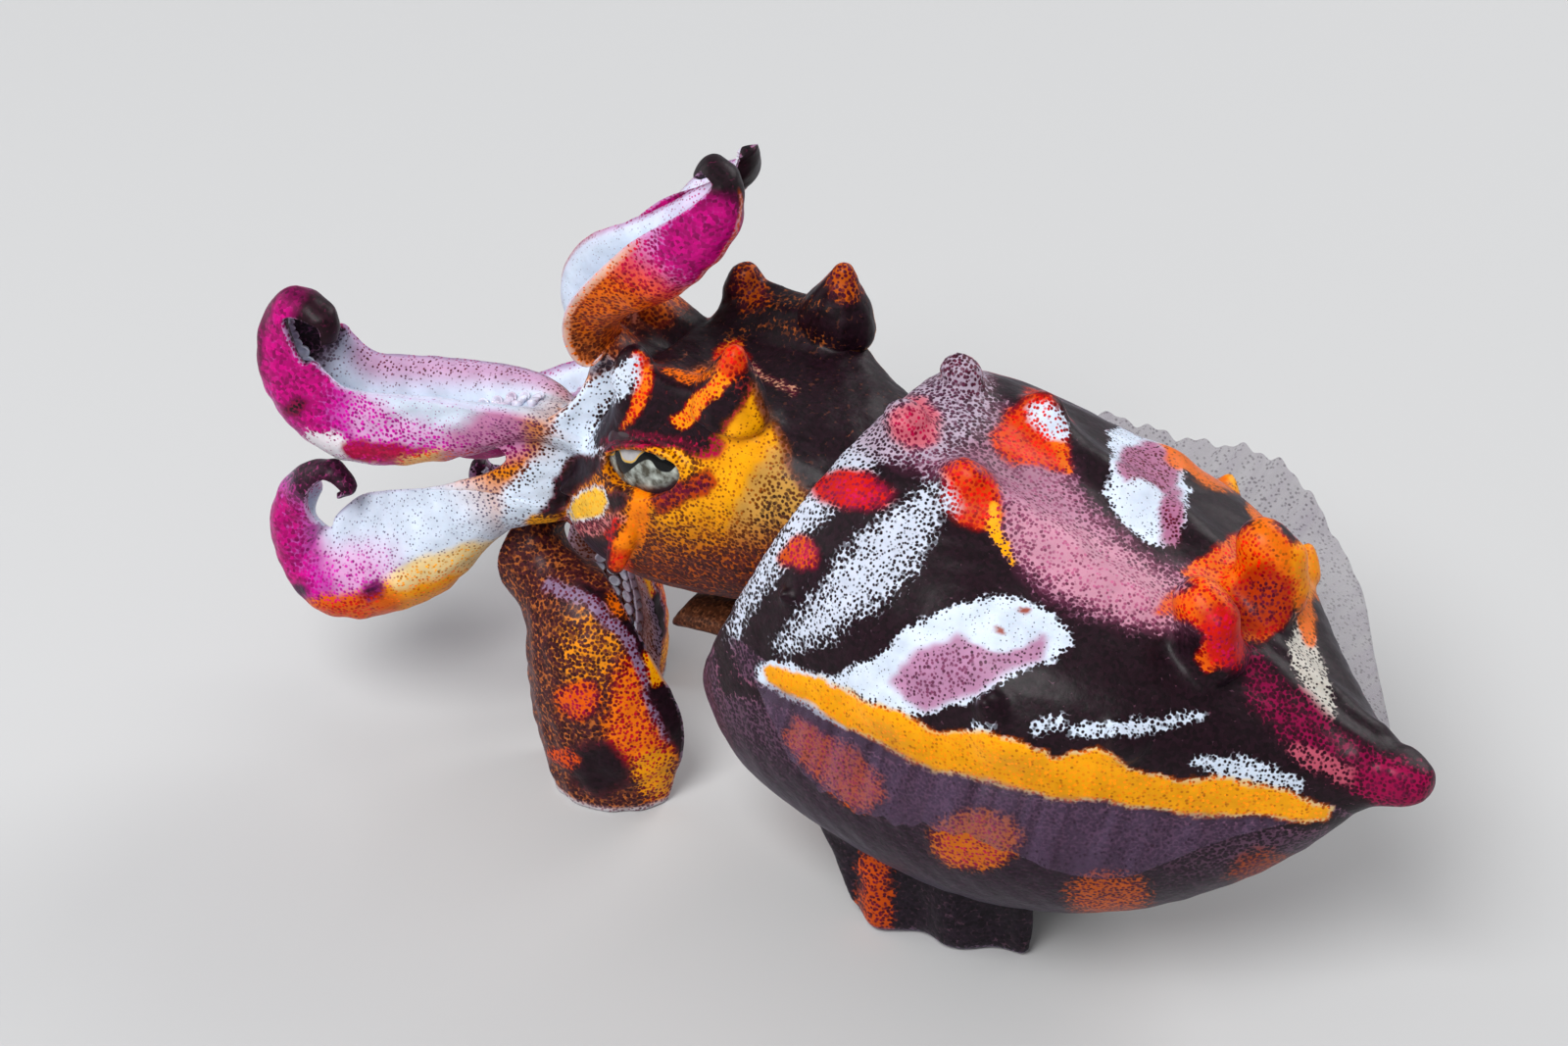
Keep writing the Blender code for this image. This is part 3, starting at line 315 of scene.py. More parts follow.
def write_number(piece, name, values):
    """Keeps a number for each point of a piece."""
    layer = piece.data.attributes.get(name) or piece.data.attributes.new(name, "FLOAT", "POINT")
    layer.data.foreach_set("value", np.asarray(values, np.float32))


def read_number(piece, name):
    values = np.empty(len(piece.data.vertices), np.float32)
    piece.data.attributes[name].data.foreach_get("value", values)
    return values.astype(float)


def write_colour(piece, name, values):
    """Keeps a colour for each point of a piece."""
    layer = piece.data.attributes.get(name) or piece.data.attributes.new(name, "FLOAT_COLOR", "POINT")
    four = np.ones((len(values), 4), np.float32)
    four[:, :3] = values
    layer.data.foreach_set("color", four.ravel())


def smooth_curve(rows, shares):
    """A smooth curve through given rows, read at shares of its way."""
    table = np.array(rows, float)
    last = len(table) - 1
    t = np.clip(np.asarray(shares, float), 0, 1) * last
    i = np.minimum(t.astype(int), last - 1)
    f = (t - i)[:, None]
    p0 = table[np.maximum(i - 1, 0)]
    p1 = table[i]
    p2 = table[i + 1]
    p3 = table[np.minimum(i + 2, last)]
    return 0.5 * (2 * p1 + (p2 - p0) * f + (2 * p0 - 5 * p1 + 4 * p2 - p3) * f**2
                  + (3 * p1 - p0 - 3 * p2 + p3) * f**3)


def unit(ways):
    return ways / np.maximum(np.linalg.norm(ways, axis=-1, keepdims=True), 1e-9)


def sight(points):
    """Where points are seen along the line of sight, as steps right and down."""
    right = np.array((math.cos(VIEW_TURN), math.sin(VIEW_TURN), 0.0))
    up = np.cross(VIEW_BACK, right)
    away = points - VIEW_FROM
    deep = -(away @ VIEW_BACK)
    return np.stack([SIGHT_MIDDLE[0] + SIGHT_STEPS * (away @ right) / deep,
                     SIGHT_MIDDLE[1] - SIGHT_STEPS * (away @ up) / deep], axis=1)


def faces_sight(normals):
    """How squarely the skin at each point faces the line of sight, from -1 to 1."""
    return normals @ VIEW_BACK


def on_left(points):
    """The points, with those of the animal's right side mirrored to its left."""
    return points * np.array((1, 0, 1)) + np.abs(points) * np.array((0, -1, 0))


def arm_frames(controls, shares):
    """Where an arm is at shares of its way, how it lies there and the sizes of its trough."""
    shares = np.asarray(shares, float)
    rows = smooth_curve(controls, shares)
    ahead = smooth_curve(controls, shares + ARM_LOOK)[:, :3]
    behind = smooth_curve(controls, shares - ARM_LOOK)[:, :3]
    along = unit(ahead - behind)
    crown = unit(np.array((-1.0, 0.0, ARM_LEAN)))
    near_root = np.maximum(1 - shares / ARM_TURN, 0.0)[:, None]
    along = unit(along * (1 - near_root) + crown * near_root)
    standing = controls[-1][2] == 0.0
    if standing:
        near_foot = np.maximum(1 - (1 - shares) / FOOT_TURN, 0.0)[:, None]
        along = unit(along * (1 - near_foot) + np.array((0.0, 0.0, -1.0)) * near_foot)
    oral = rows[:, 3:6]
    oral = unit(oral - along * np.sum(oral * along, axis=1, keepdims=True))
    across = np.cross(along, oral)
    oral = unit(oral + along * np.tan(np.radians(rows[:, 9:10])))
    half = rows[:, 6]
    thick = rows[:, 7]
    curl = np.radians(rows[:, 8])
    fold = np.clip(FOLD_ROOM * thick * curl / half, ARM_FOLD, 1.0)
    if standing:
        fold[:] = 1.0
    return {"middle": rows[:, :3], "oral": oral, "across": across, "half": half, "thick": thick,
            "curl": curl, "fold": fold}


def arm_surface(frames, i, across, inner):
    """Places on an arm's outer or inner skin at steps i, from edge to edge at across from -1 to 1, and the
    way out there."""
    at = {name: values[i] for name, values in frames.items()}
    bent = np.clip(across, -at["fold"], at["fold"])
    turn = bent / at["fold"] * at["curl"]
    radius = at["half"] * at["fold"] / at["curl"]
    hub = at["middle"] + at["oral"] * (radius - at["thick"] / 2)[:, None]
    way = at["across"] * np.sin(turn)[:, None] - at["oral"] * np.cos(turn)[:, None]
    onward = at["across"] * np.cos(turn)[:, None] + at["oral"] * np.sin(turn)[:, None]
    outer = hub + way * radius[:, None] + onward * (at["half"] * (across - bent))[:, None]
    lip = ARM_EDGE * np.sqrt(np.maximum(1 - np.abs(across)**10, 0.0))
    deep = lip + (at["thick"] - ARM_EDGE) * np.sqrt(np.maximum(1 - across**2, 0.0))
    return outer - way * (deep * inner)[:, None], way


def arm_ball(name, steps):
    """A ball whose poles will be an arm's root and tip, with each point's place along and across it."""
    long, round_steps = steps
    bpy.ops.object.select_all(action="DESELECT")
    bpy.ops.mesh.primitive_uv_sphere_add(segments=round_steps, ring_count=long, radius=1.0)
    piece = bpy.context.object
    piece.name = name
    ball = own_points(piece)
    ring = np.rint(np.arccos(np.clip(ball[:, 2], -1, 1)) / math.pi * long).astype(int)
    turn = np.round(np.arctan2(ball[:, 1], ball[:, 0]) / (2 * math.pi) % 1.0, 5) % 1.0
    outside = turn <= OUTER_SHARE
    across = np.where(outside, 2 * turn / OUTER_SHARE - 1, 1 - 2 * (turn - OUTER_SHARE) / (1 - OUTER_SHARE))
    inner = np.where(outside, 0.0, 1.0)
    pole = (ring == 0) | (ring == long)
    across[pole] = 0.0
    inner[pole] = 0.5
    return piece, ring, across, inner


def root_sink(place):
    """How far and which way an arm is moved back into the head at places along it."""
    sink = ROOT_SINK * np.maximum(1 - place / ROOT_FADE, 0.0)
    return unit(np.array((-1.0, 0.0, ARM_LEAN))) * sink[:, None]


def make_arm(name):
    """One arm: a ball whose skin becomes the trough."""
    steps = FINE_STEPS if "left" in name else PLAIN_STEPS
    piece, ring, across, inner = arm_ball(name, steps)
    shares = np.arange(steps[0] + 1) / steps[0]
    points, way = arm_surface(arm_frames(ARMS[name], shares), ring, across, inner)
    place = ring / steps[0]
    points -= root_sink(place)
    # a fine unevenness of the outer skin, which starts past the root
    ripple = ARM_RIPPLE * lumps(points, ARM_RIPPLE_SIZE, 40) * smooth_step(place / 0.2)
    points += way * (ripple * (1 - inner))[:, None]
    points[:, 2] = np.maximum(points[:, 2], 0.0)
    write_points(piece, points)
    write_number(piece, "arm", np.full(len(points), ARM_NAMES.index(name) + 1))
    write_number(piece, "place", place)
    write_number(piece, "across", across)
    write_number(piece, "inner", inner)
    # the right arms take their markings from the same places on the left ones
    twin = name.replace("right", "left")
    flip = 1 if twin == name else -1
    twin_points, _ = arm_surface(arm_frames(ARMS[twin], shares), ring, across * flip, inner)
    seen = sight(twin_points)
    write_number(piece, "seen_right", seen[:, 0])
    write_number(piece, "seen_down", seen[:, 1])
    face_out(piece)
    return piece


def make_stub(name):
    """The root of an arm as the head's flesh, a little proud of the arm at first and then under it."""
    piece, ring, across, inner = arm_ball(f"stub_{name}", STUB_STEPS)
    shares = np.arange(STUB_STEPS[0] + 1) / STUB_STEPS[0] * STUB_REACH
    place = shares[ring]
    faded = smooth_step(place / STUB_FADE)
    narrow = across * (1 - STUB_NARROW * faded)
    points, way = arm_surface(arm_frames(ARMS[name], shares), ring, narrow, inner)
    proud = STUB_PROUD - (STUB_PROUD + STUB_UNDER) * faded
    points += way * (proud * (1 - 2 * inner))[:, None]
    points -= root_sink(place)
    write_points(piece, points)
    face_out(piece)
    return piece


def make_web(number, web):
    """A sheet of skin between two arms' roots, its free edge hanging back in the middle."""
    first, first_across, second, second_across, first_reach, second_reach, hang = web
    bpy.ops.object.select_all(action="DESELECT")
    bpy.ops.mesh.primitive_grid_add(x_subdivisions=WEB_STEPS, y_subdivisions=WEB_STEPS, size=1.0)
    piece = bpy.context.object
    piece.name = f"web_{number}"
    grid = own_points(piece) + 0.5
    out = grid[:, 0]
    over = grid[:, 1]
    back = 1 - hang * 4 * over * (1 - over)
    ends = []
    for name, across, reach in ((first, first_across, first_reach), (second, second_across, second_reach)):
        shares = out * back * reach
        frames = arm_frames(ARMS[name], shares)
        steps = np.arange(len(shares))
        edge, _ = arm_surface(frames, steps, np.full(len(shares), across), np.full(len(shares), WEB_DEPTH))
        ends.append(edge)
    points = ends[0] * (1 - over)[:, None] + ends[1] * over[:, None]
    write_points(piece, points)
    finish_with(piece, "SOLIDIFY", thickness=WEB_THICK * MM, offset=0.0)
    face_out(piece)
    return piece


def face_out(piece):
    """Turns all of a piece's faces outward."""
    select_only(piece)
    bpy.ops.object.mode_set(mode="EDIT")
    bpy.ops.mesh.select_all(action="SELECT")
    bpy.ops.mesh.normals_make_consistent(inside=False)
    bpy.ops.object.mode_set(mode="OBJECT")


def flesh_copy(node, rounds=1):
    """A rounded copy of one of the solids, to grow skin from."""
    piece = bpy.data.objects.new(f"flesh_{node}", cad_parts[node].data.copy())
    bpy.context.scene.collection.objects.link(piece)
    piece.data.materials.clear()
    select_only(piece)
    bpy.ops.object.mode_set(mode="EDIT")
    bpy.ops.mesh.select_all(action="SELECT")
    bpy.ops.mesh.remove_doubles(threshold=0.00001)
    bpy.ops.object.mode_set(mode="OBJECT")
    if rounds:
        finish_with(piece, "SUBSURF", levels=rounds, render_levels=rounds)
    return piece


def grow_skin(name, flesh, grain, smoothings):
    """One skin over pieces of flesh, with even points, and their kept numbers carried over."""
    skin = join_into(name, flesh)
    skin.data.remesh_voxel_size = grain * MM
    skin.data.use_remesh_preserve_attributes = True
    bpy.ops.object.voxel_remesh()
    finish_with(skin, "SMOOTH", factor=0.5, iterations=smoothings)
    skin.data.shade_smooth()
    return skin


def smooth_step(values):
    x = np.clip(values, 0.0, 1.0)
    return x * x * (3 - 2 * x)


def inside(distance, edge):
    """1 where a distance is below 0 and 0 where it is above, over a soft edge."""
    return smooth_step(0.5 - distance / edge)


def lumps(points, size, seed):
    """Soft noise from about -1 to 1 whose lumps have about that size."""
    rng = np.random.default_rng(seed)
    total = np.zeros(len(points))
    for _ in range(8):
        way = unit(rng.normal(size=3)) * 2 * math.pi / size * rng.uniform(0.6, 1.5)
        total += np.sin(points @ way + rng.uniform(0, 2 * math.pi))
    return total / 4


def line_distance(points, route):
    """How far points are from a line through places, and how far along it its nearest place is, 0 to 1."""
    best = np.full(len(points), np.inf)
    along = np.zeros(len(points))
    count = len(route) - 1
    for i in range(count):
        a = np.array(route[i], float)
        step = np.array(route[i + 1], float) - a
        t = np.clip(((points - a) @ step) / (step @ step), 0, 1)
        away = np.linalg.norm(points - a - t[:, None] * step, axis=1)
        along = np.where(away < best, (i + t) / count, along)
        best = np.minimum(best, away)
    return best, along


def stripe(seen, route, widths):
    """How far outside a painted stripe each seen point is, the stripe's half widths given along it."""
    away, along = line_distance(seen, route)
    return away - np.interp(along, np.linspace(0, 1, len(widths)), widths)


def patch(seen, outline):
    """How far outside a painted patch each seen point is, below 0 inside its outline."""
    away, _ = line_distance(seen, tuple(outline) + (outline[0],))
    crossings = np.zeros(len(seen), int)
    x, y = seen[:, 0], seen[:, 1]
    for (ax, ay), (bx, by) in zip(outline, tuple(outline[1:]) + (outline[0],)):
        over = (ay > y) != (by > y)
        meets = ax + (y - ay) * (bx - ax) / (by - ay if by != ay else 1e-9)
        crossings += over & (x < meets)
    return np.where(crossings % 2 == 1, -away, away)


def dab(seen, place, across, tall, turn=0.0):
    """How far outside a painted oval each seen point is, its half sizes given, turned by degrees."""
    x = seen[:, 0] - place[0]
    y = seen[:, 1] - place[1]
    c, s = math.cos(math.radians(turn)), math.sin(math.radians(turn))
    near = np.hypot((x * c + y * s) / across, (y * c - x * s) / tall)
    return (near - 1) * min(across, tall)


def wander(points, sizes, reaches, seed):
    """Small steps right and down that make a marking's edge wander, from a coarse and a fine noise."""
    steps = []
    for first in (seed, seed + 2):
        coarse = lumps(points, sizes[0], first) * reaches[0]
        steps.append(coarse + lumps(points, sizes[1], first + 1) * reaches[1])
    return np.stack(steps, axis=1)


def raise_skin(piece, rises):
    """Lifts soft ridges and cones out of a skin, on both sides."""
    points = read_points(piece)
    normals = read_normals(piece)
    left = on_left(points)
    lift = np.zeros(len(points))
    for route, reach, height in rises:
        away, _ = line_distance(left, route)
        lift += height * np.exp(-1.2 * (away / reach)**2)
    points += normals * lift[:, None]
    write_points(piece, points)


class Coat:
    """The colours of a skin: its ground, the pigment of the cells on it and how much they cover."""

    def __init__(self, count, ground, pigment, cover):
        self.ground = np.tile(np.array(ground, float), (count, 1))
        self.pigment = np.tile(np.array(pigment, float), (count, 1))
        self.cover = np.full(count, float(cover))

    def lay(self, share, ground=None, pigment=None, cover=None):
        """Lays new colours over the share of each point."""
        if ground is not None:
            self.ground += (np.array(ground) - self.ground) * share[:, None]
        if pigment is not None:
            self.pigment += (np.array(pigment) - self.pigment) * share[:, None]
        if cover is not None:
            self.cover += (cover - self.cover) * share

    def mark(self, away, soft, ground=None, pigment=None, cover=None, where=1.0):
        """Paints a mark: the ground changes first, and the cells thin out over it toward its middle."""
        if ground is not None:
            self.lay(inside(away - 0.4 * soft, 0.5 * soft) * where, ground=ground)
        if pigment is not None:
            self.lay(inside(away, soft) * where, pigment=pigment)
        if cover is not None:
            self.lay(inside(away, soft) * where, cover=cover)

    def mixed(self, other, share):
        """This coat with a share of another one at each point."""
        self.ground += (other.ground - self.ground) * share[:, None]
        self.pigment += (other.pigment - self.pigment) * share[:, None]
        self.cover += (other.cover - self.cover) * share
        return self

    def write(self, piece):
        write_colour(piece, "ground", np.clip(self.ground, 0, 1))
        write_colour(piece, "pigment", np.clip(self.pigment, 0, 1))
        write_number(piece, "cover", np.clip(self.cover, 0, 1))


def painted_both_sides(piece, paint):
    """Paints what the line of sight meets, and gives the side hidden from it the near side's markings."""
    points = read_points(piece)
    stray = wander(points, (4.5, 1.6), (3, 1.6), 1)
    left = on_left(points)
    near = paint(points, sight(points) + stray)
    far = paint(left, sight(left) + stray)
    turned = smooth_step((SIGHT_LEAST - faces_sight(read_normals(piece))) / SIGHT_EDGE)
    hidden = turned * (points[:, 1] > 0)
    return near.mixed(far, hidden)


def build_mantle_skin():
    """The body's skin with its two walking flaps."""
    flesh = [flesh_copy("mantle")]
    for node in ("belly_flap_left", "belly_flap_right"):
        flap = flesh_copy(node)
        points = read_points(flap)
        high = points[:, 2] > FLAP_FOOT
        points[high, 2] += FLAP_SINK
        write_points(flap, points)
        flesh.append(flap)
    skin = grow_skin("mantle_skin", flesh, MANTLE_GRAIN, 12)
    raise_skin(skin, MANTLE_RISES)
    finish_with(skin, "SMOOTH", factor=0.5, iterations=6)
    points = read_points(skin)
    # the flaps' feet ripple
    low = smooth_step((12.0 - points[:, 2]) / 8.0)
    low = low * smooth_step((8.0 - np.abs(points[:, 0] - 2.5)) / 1.0 + 1.0)
    points[:, 1] += low * 0.7 * np.sin(points[:, 0] * 0.8 + 1.0)
    points += (0.06 * lumps(points, 3.2, 5))[:, None] * read_normals(skin)
    points[:, 2] = np.maximum(points[:, 2], 0.0)
    write_points(skin, points)
    painted_both_sides(skin, paint_mantle).write(skin)
    skin.data.materials.append(skin_material("mantle_flesh"))
    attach(skin, "root")
    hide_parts("mantle", "belly_flap_left", "belly_flap_right")
    return skin


def paint_mantle(points, seen):
    coat = Coat(len(points), MAUVE, INK, 0.96)
    # dark red glows through the dark ground
    coat.lay(0.5 * smooth_step(lumps(points, 9.0, 7) - 0.2), ground=CRIMSON)
    paint_back(coat, seen)
    paint_white_bands(coat, seen)
    paint_rear(coat, seen)
    paint_belly(coat, points, seen)
    paint_fin_band(coat, seen)
    return coat


def paint_back(coat, seen):
    """The pink middle of the back and its red cones."""
    back = patch(seen, ((946, 400), (997, 410), (1034, 424), (1062, 428), (1084, 462), (1098, 496),
                        (1130, 533), (1153, 556), (1181, 574), (1217, 581), (1199, 604), (1185, 636),
                        (1153, 638), (1107, 625), (1061, 602), (1038, 574), (1020, 533), (985, 500),
                        (942, 480), (900, 462), (922, 420)))
    coat.mark(back, 34, ground=(0.26, 0.1, 0.17), pigment=(0.09, 0.02, 0.045), cover=0.55)
    coat.mark(back + 18, 40, ground=(0.42, 0.19, 0.28), pigment=(0.2, 0.06, 0.11), cover=0.42)
    coat.mark(dab(seen, (985, 440), 62, 34, 20), 50, ground=(0.3, 0.14, 0.2), pigment=(0.05, 0.018, 0.03),
              cover=0.66)
    coat.mark(dab(seen, (1120, 585), 72, 22, 28), 40, ground=(0.52, 0.25, 0.33), pigment=(0.32, 0.1, 0.17),
              cover=0.3)
    coat.mark(dab(seen, (984, 385), 26, 20, 20), 18, ground=(0.4, 0.03, 0.05), pigment=MAROON, cover=0.5)
    far_cone = patch(seen, ((1018, 442), (1036, 420), (1050, 400), (1072, 402), (1084, 440), (1090, 476),
                            (1074, 474), (1052, 470), (1032, 468), (1022, 456)))
    coat.mark(far_cone, 16, ground=(0.62, 0.06, 0.01), pigment=RED, cover=0.5)
    coat.mark(stripe(seen, ((1068, 434), (1080, 452), (1090, 478)), (4, 5, 3)), 6, ground=ORANGE, cover=0.2)
    near_cone = patch(seen, ((962, 512), (970, 482), (986, 474), (1012, 492), (1020, 524), (1016, 536),
                             (998, 538), (980, 532)))
    coat.mark(near_cone, 16, ground=(0.6, 0.06, 0.01), pigment=RED, cover=0.5)
    coat.mark(stripe(seen, ((1014, 520), (1018, 546), (1032, 572)), (4, 5, 3)), 6, ground=YELLOW,
              cover=0.15)


def paint_white_bands(coat, seen):
    """The white band behind the rim, the slanting one, the blotch and the red patches between them."""
    rim = stripe(seen, ((950, 402), (915, 428), (870, 470), (826, 520), (788, 572), (762, 610), (749, 645)),
                 (18, 28, 24, 19, 15, 12, 7))
    coat.mark(rim + 3, 26, ground=(0.52, 0.56, 0.66), pigment=INK, cover=0.34)
    coat.mark(dab(seen, (945, 415), 54, 36, -30), 50, ground=(0.4, 0.32, 0.4), pigment=(0.06, 0.02, 0.04),
              cover=0.55)
    coat.mark(dab(seen, (933, 432), 20, 19), 20, ground=(0.55, 0.14, 0.18), pigment=CRIMSON, cover=0.4)
    slant = stripe(seen, ((950, 512), (924, 542), (896, 574), (868, 602), (836, 634), (800, 657)),
                   (14, 29, 32, 27, 20, 8))
    coat.mark(slant + 2, 38, ground=(0.54, 0.58, 0.68), pigment=INK, cover=0.28)
    blotch = patch(seen, ((800, 676), (850, 691), (869, 680), (896, 666), (924, 643), (956, 625),
                          (983, 613), (1011, 608), (1043, 611), (1071, 622), (1091, 641), (1094, 657),
                          (1080, 671), (1052, 680), (1016, 698), (988, 717), (942, 731), (924, 732),
                          (892, 716), (859, 706), (820, 690)))
    coat.mark(blotch + 1, 12, ground=WHITE, pigment=INK, cover=0.05)
    inner = patch(seen, ((914, 694), (937, 668), (979, 648), (990, 657), (1011, 667), (1038, 665),
                         (1066, 652), (1061, 668), (1025, 682), (997, 702), (944, 723), (928, 712)))
    coat.mark(inner + 4, 22, ground=(0.4, 0.2, 0.32), pigment=(0.13, 0.04, 0.08), cover=0.42)
    coat.mark(dab(seen, (1020, 640), 26, 22), 12, ground=WHITE, cover=0.05)
    for place in ((1021, 642), (1046, 625)):
        coat.mark(dab(seen, place, 4, 3), 3, ground=(0.3, 0.08, 0.06))
    coat.mark(dab(seen, (871, 501), 31, 15, 6), 14, ground=RED, pigment=CRIMSON, cover=0.5)
    coat.mark(dab(seen, (816, 565), 17, 13, -10), 12, ground=(0.5, 0.07, 0.01), pigment=CRIMSON, cover=0.5)
    # the far side's own white patches
    coat.mark(dab(seen, (1072, 430), 20, 13, 40), 12, ground=WHITE, cover=0.3)
    far = patch(seen, ((1130, 441), (1153, 432), (1188, 432), (1196, 459), (1213, 501), (1211, 537),
                       (1195, 558), (1172, 554), (1144, 533), (1129, 501), (1135, 473)))
    coat.mark(far, 8, ground=WHITE, pigment=INK, cover=0.12)
    coat.mark(dab(seen, (1172, 478), 26, 22, 30), 12, ground=(0.36, 0.14, 0.24), pigment=MAROON, cover=0.4)
    coat.mark(dab(seen, (1197, 530), 10, 24), 10, ground=(0.36, 0.14, 0.24), pigment=MAROON, cover=0.4)
    coat.mark(dab(seen, (1162, 513), 18, 20), 9, ground=WHITE, cover=0.05)
    flank = patch(seen, ((1324, 625), (1338, 640), (1350, 680), (1362, 720), (1358, 750), (1340, 735),
                         (1326, 700), (1318, 660)))
    coat.mark(flank, 12, ground=(0.5, 0.47, 0.42), cover=0.25)


def paint_fin_band(coat, seen):
    """The yellow band along the fin's root, white at its front end, and the white streaks above it."""
    for route, widths, cover in ((((1060, 742), (1080, 738)), (7, 6), 0.4),
                                 (((1098, 748), (1130, 744), (1176, 738)), (6, 9, 5), 0.3),
                                 (((1184, 741), (1222, 731)), (5, 6), 0.45),
                                 (((998, 742), (1012, 744)), (6, 4), 0.3)):
        coat.mark(stripe(seen, route, widths), 12, ground=WHITE, pigment=INK, cover=cover)
    coat.mark(stripe(seen, ((1220, 778), (1270, 785), (1320, 800)), (4, 12, 6)), 14, ground=WHITE,
              cover=0.3)
    band = stripe(seen, FIN_BAND, FIN_BAND_WIDTHS)
    ends = stripe(seen, ((780, 680), (860, 726)), (16, 16))
    coat.mark(band - 3, 5, ground=(0.7, 0.5, 0.25), pigment=ORANGE, cover=0.2)
    coat.mark(np.maximum(band - 6, ends), 6, ground=WHITE, cover=0.1)
    coat.mark(band + 1, 5, ground=YELLOW, pigment=(0.8, 0.22, 0.002), cover=0.3)


def paint_rear(coat, seen):
    """The orange cones at the rear, the far margin and the magenta tail."""
    tail = stripe(seen, ((1270, 660), (1290, 700), (1318, 735), (1350, 765), (1390, 785), (1445, 806)),
                  (10, 16, 20, 22, 24, 26))
    coat.mark(tail, 26, ground=(0.2, 0.006, 0.045), pigment=(0.03, 0.003, 0.01), cover=0.6)
    coat.mark(dab(seen, (1350, 781), 26, 8, 25), 14, ground=(0.42, 0.09, 0.13), cover=0.35)
    coat.mark(dab(seen, (1425, 803), 34, 22, 10), 16, ground=(0.26, 0.004, 0.05), pigment=(0.08, 0.0, 0.02),
              cover=0.5)
    far = patch(seen, ((1209, 583), (1236, 565), (1262, 545), (1300, 530), (1322, 560), (1324, 606),
                       (1311, 636), (1286, 654), (1262, 652), (1252, 625), (1241, 606)))
    coat.mark(far, 10, ground=ORANGE, pigment=RED, cover=0.4)
    coat.mark(dab(seen, (1290, 612), 26, 30, 20), 20, ground=(0.4, 0.04, 0.01), pigment=MAROON, cover=0.45)
    near = patch(seen, ((1183, 620), (1203, 602), (1227, 597), (1246, 610), (1256, 634), (1266, 657),
                        (1261, 672), (1231, 684), (1222, 671), (1230, 648), (1216, 634)))
    coat.mark(near, 10, ground=(0.68, 0.1, 0.006), pigment=RED, cover=0.35)
    coat.mark(dab(seen, (1248, 652), 16, 26, -20), 16, ground=RED, pigment=CRIMSON, cover=0.4)
    margin = stripe(seen, ((1120, 408), (1175, 428), (1194, 440), (1206, 470), (1240, 488), (1272, 490),
                           (1284, 505), (1290, 545), (1318, 575), (1336, 585), (1332, 610), (1338, 650)),
                    (4, 7, 9, 9, 9, 14, 10, 9, 9, 12, 8, 6))
    coat.mark(margin, 9, ground=ORANGE, pigment=(0.4, 0.1, 0.01), cover=0.3)
    coat.mark(dab(seen, (1275, 490), 16, 10), 8, ground=YELLOW, cover=0.15)
    coat.mark(dab(seen, (1335, 575), 14, 26), 10, ground=(0.8, 0.26, 0.006), pigment=ORANGE, cover=0.25)


def paint_belly(coat, points, seen):
    """Darker mauve under the fin, with painted shade lower down, orange spots and the walking flaps."""
    below = stripe(seen, ((730, 640), (745, 700), (800, 715), (900, 765), (1030, 800), (1200, 830),
                          (1380, 842)), (1,))
    under = (points[:, 2] < 34.5) & (below > 0) & (seen[:, 1] > 650 + (seen[:, 0] - 740) * 0.28)
    share = under * smooth_step(below / 14.0)
    coat.lay(share, ground=(0.1, 0.045, 0.08), pigment=(0.014, 0.005, 0.012), cover=0.6)
    # painted shade: the mauve turns darker still toward the bottom of the body
    coat.lay(share * smooth_step((below - 25) / 60.0), ground=(0.04, 0.014, 0.03), cover=0.8)
    coat.mark(stripe(seen, ((822, 752), (878, 806)), (17, 19)), 16, ground=(0.62, 0.11, 0.015),
              pigment=CRIMSON, cover=0.35, where=share)
    coat.mark(dab(seen, (995, 856), 38, 26), 18, ground=(0.62, 0.15, 0.01), pigment=CRIMSON, cover=0.35,
              where=share)
    coat.mark(dab(seen, (1132, 916), 34, 22), 20, ground=(0.5, 0.09, 0.01), pigment=MAROON, cover=0.45,
              where=share)
    coat.mark(dab(seen, (1290, 890), 26, 16), 20, ground=(0.3, 0.05, 0.01), pigment=MAROON, cover=0.6,
              where=share)
    flap = smooth_step((12.5 - points[:, 2]) / 3.0) * (np.abs(points[:, 0] - 2.0) < 16.0)
    coat.lay(flap, ground=(0.06, 0.03, 0.045), pigment=(0.01, 0.006, 0.01), cover=0.85)
    coat.mark(stripe(seen, ((893, 880), (893, 938)), (16, 14)), 16, ground=(0.5, 0.07, 0.01),
              pigment=MAROON, cover=0.45, where=flap)
    coat.lay(smooth_step((1.2 - points[:, 2]) / 0.8) * flap, ground=VIOLET, cover=0.4)


def build_head_skin():
    """The head's skin with the funnel and the arms' roots, grown together, and the webs between them."""
    flesh = [flesh_copy("head", 0), flesh_copy("funnel"), flesh_copy("mouth", 1)]
    flesh += [make_stub(name) for name in ARM_NAMES]
    flesh += [make_web(number, web) for number, web in enumerate(WEBS)]
    skin = grow_skin("head_skin", flesh, HEAD_GRAIN, 7)
    raise_skin(skin, HEAD_RISES)
    finish_with(skin, "SMOOTH", factor=0.5, iterations=4)
    points = read_points(skin)
    points += (0.05 * lumps(points, 2.0, 25))[:, None] * read_normals(skin)
    write_points(skin, points)
    skin.data.materials.append(skin_material("head_flesh"))
    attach(skin, "root")
    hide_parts("head", "funnel", "mouth")
    return skin


def build_arm_skin():
    """The eight arms, each a folded trough with thin edges."""
    skin = join_into("arm_skin", [make_arm(name) for name in ARM_NAMES])
    skin.data.shade_smooth()
    skin.data.materials.append(skin_material("arm_flesh"))
    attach(skin, "root")
    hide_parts(*[f"{name}_{length}" for name in ARM_NAMES for length in ("root", "end")])
    return skin


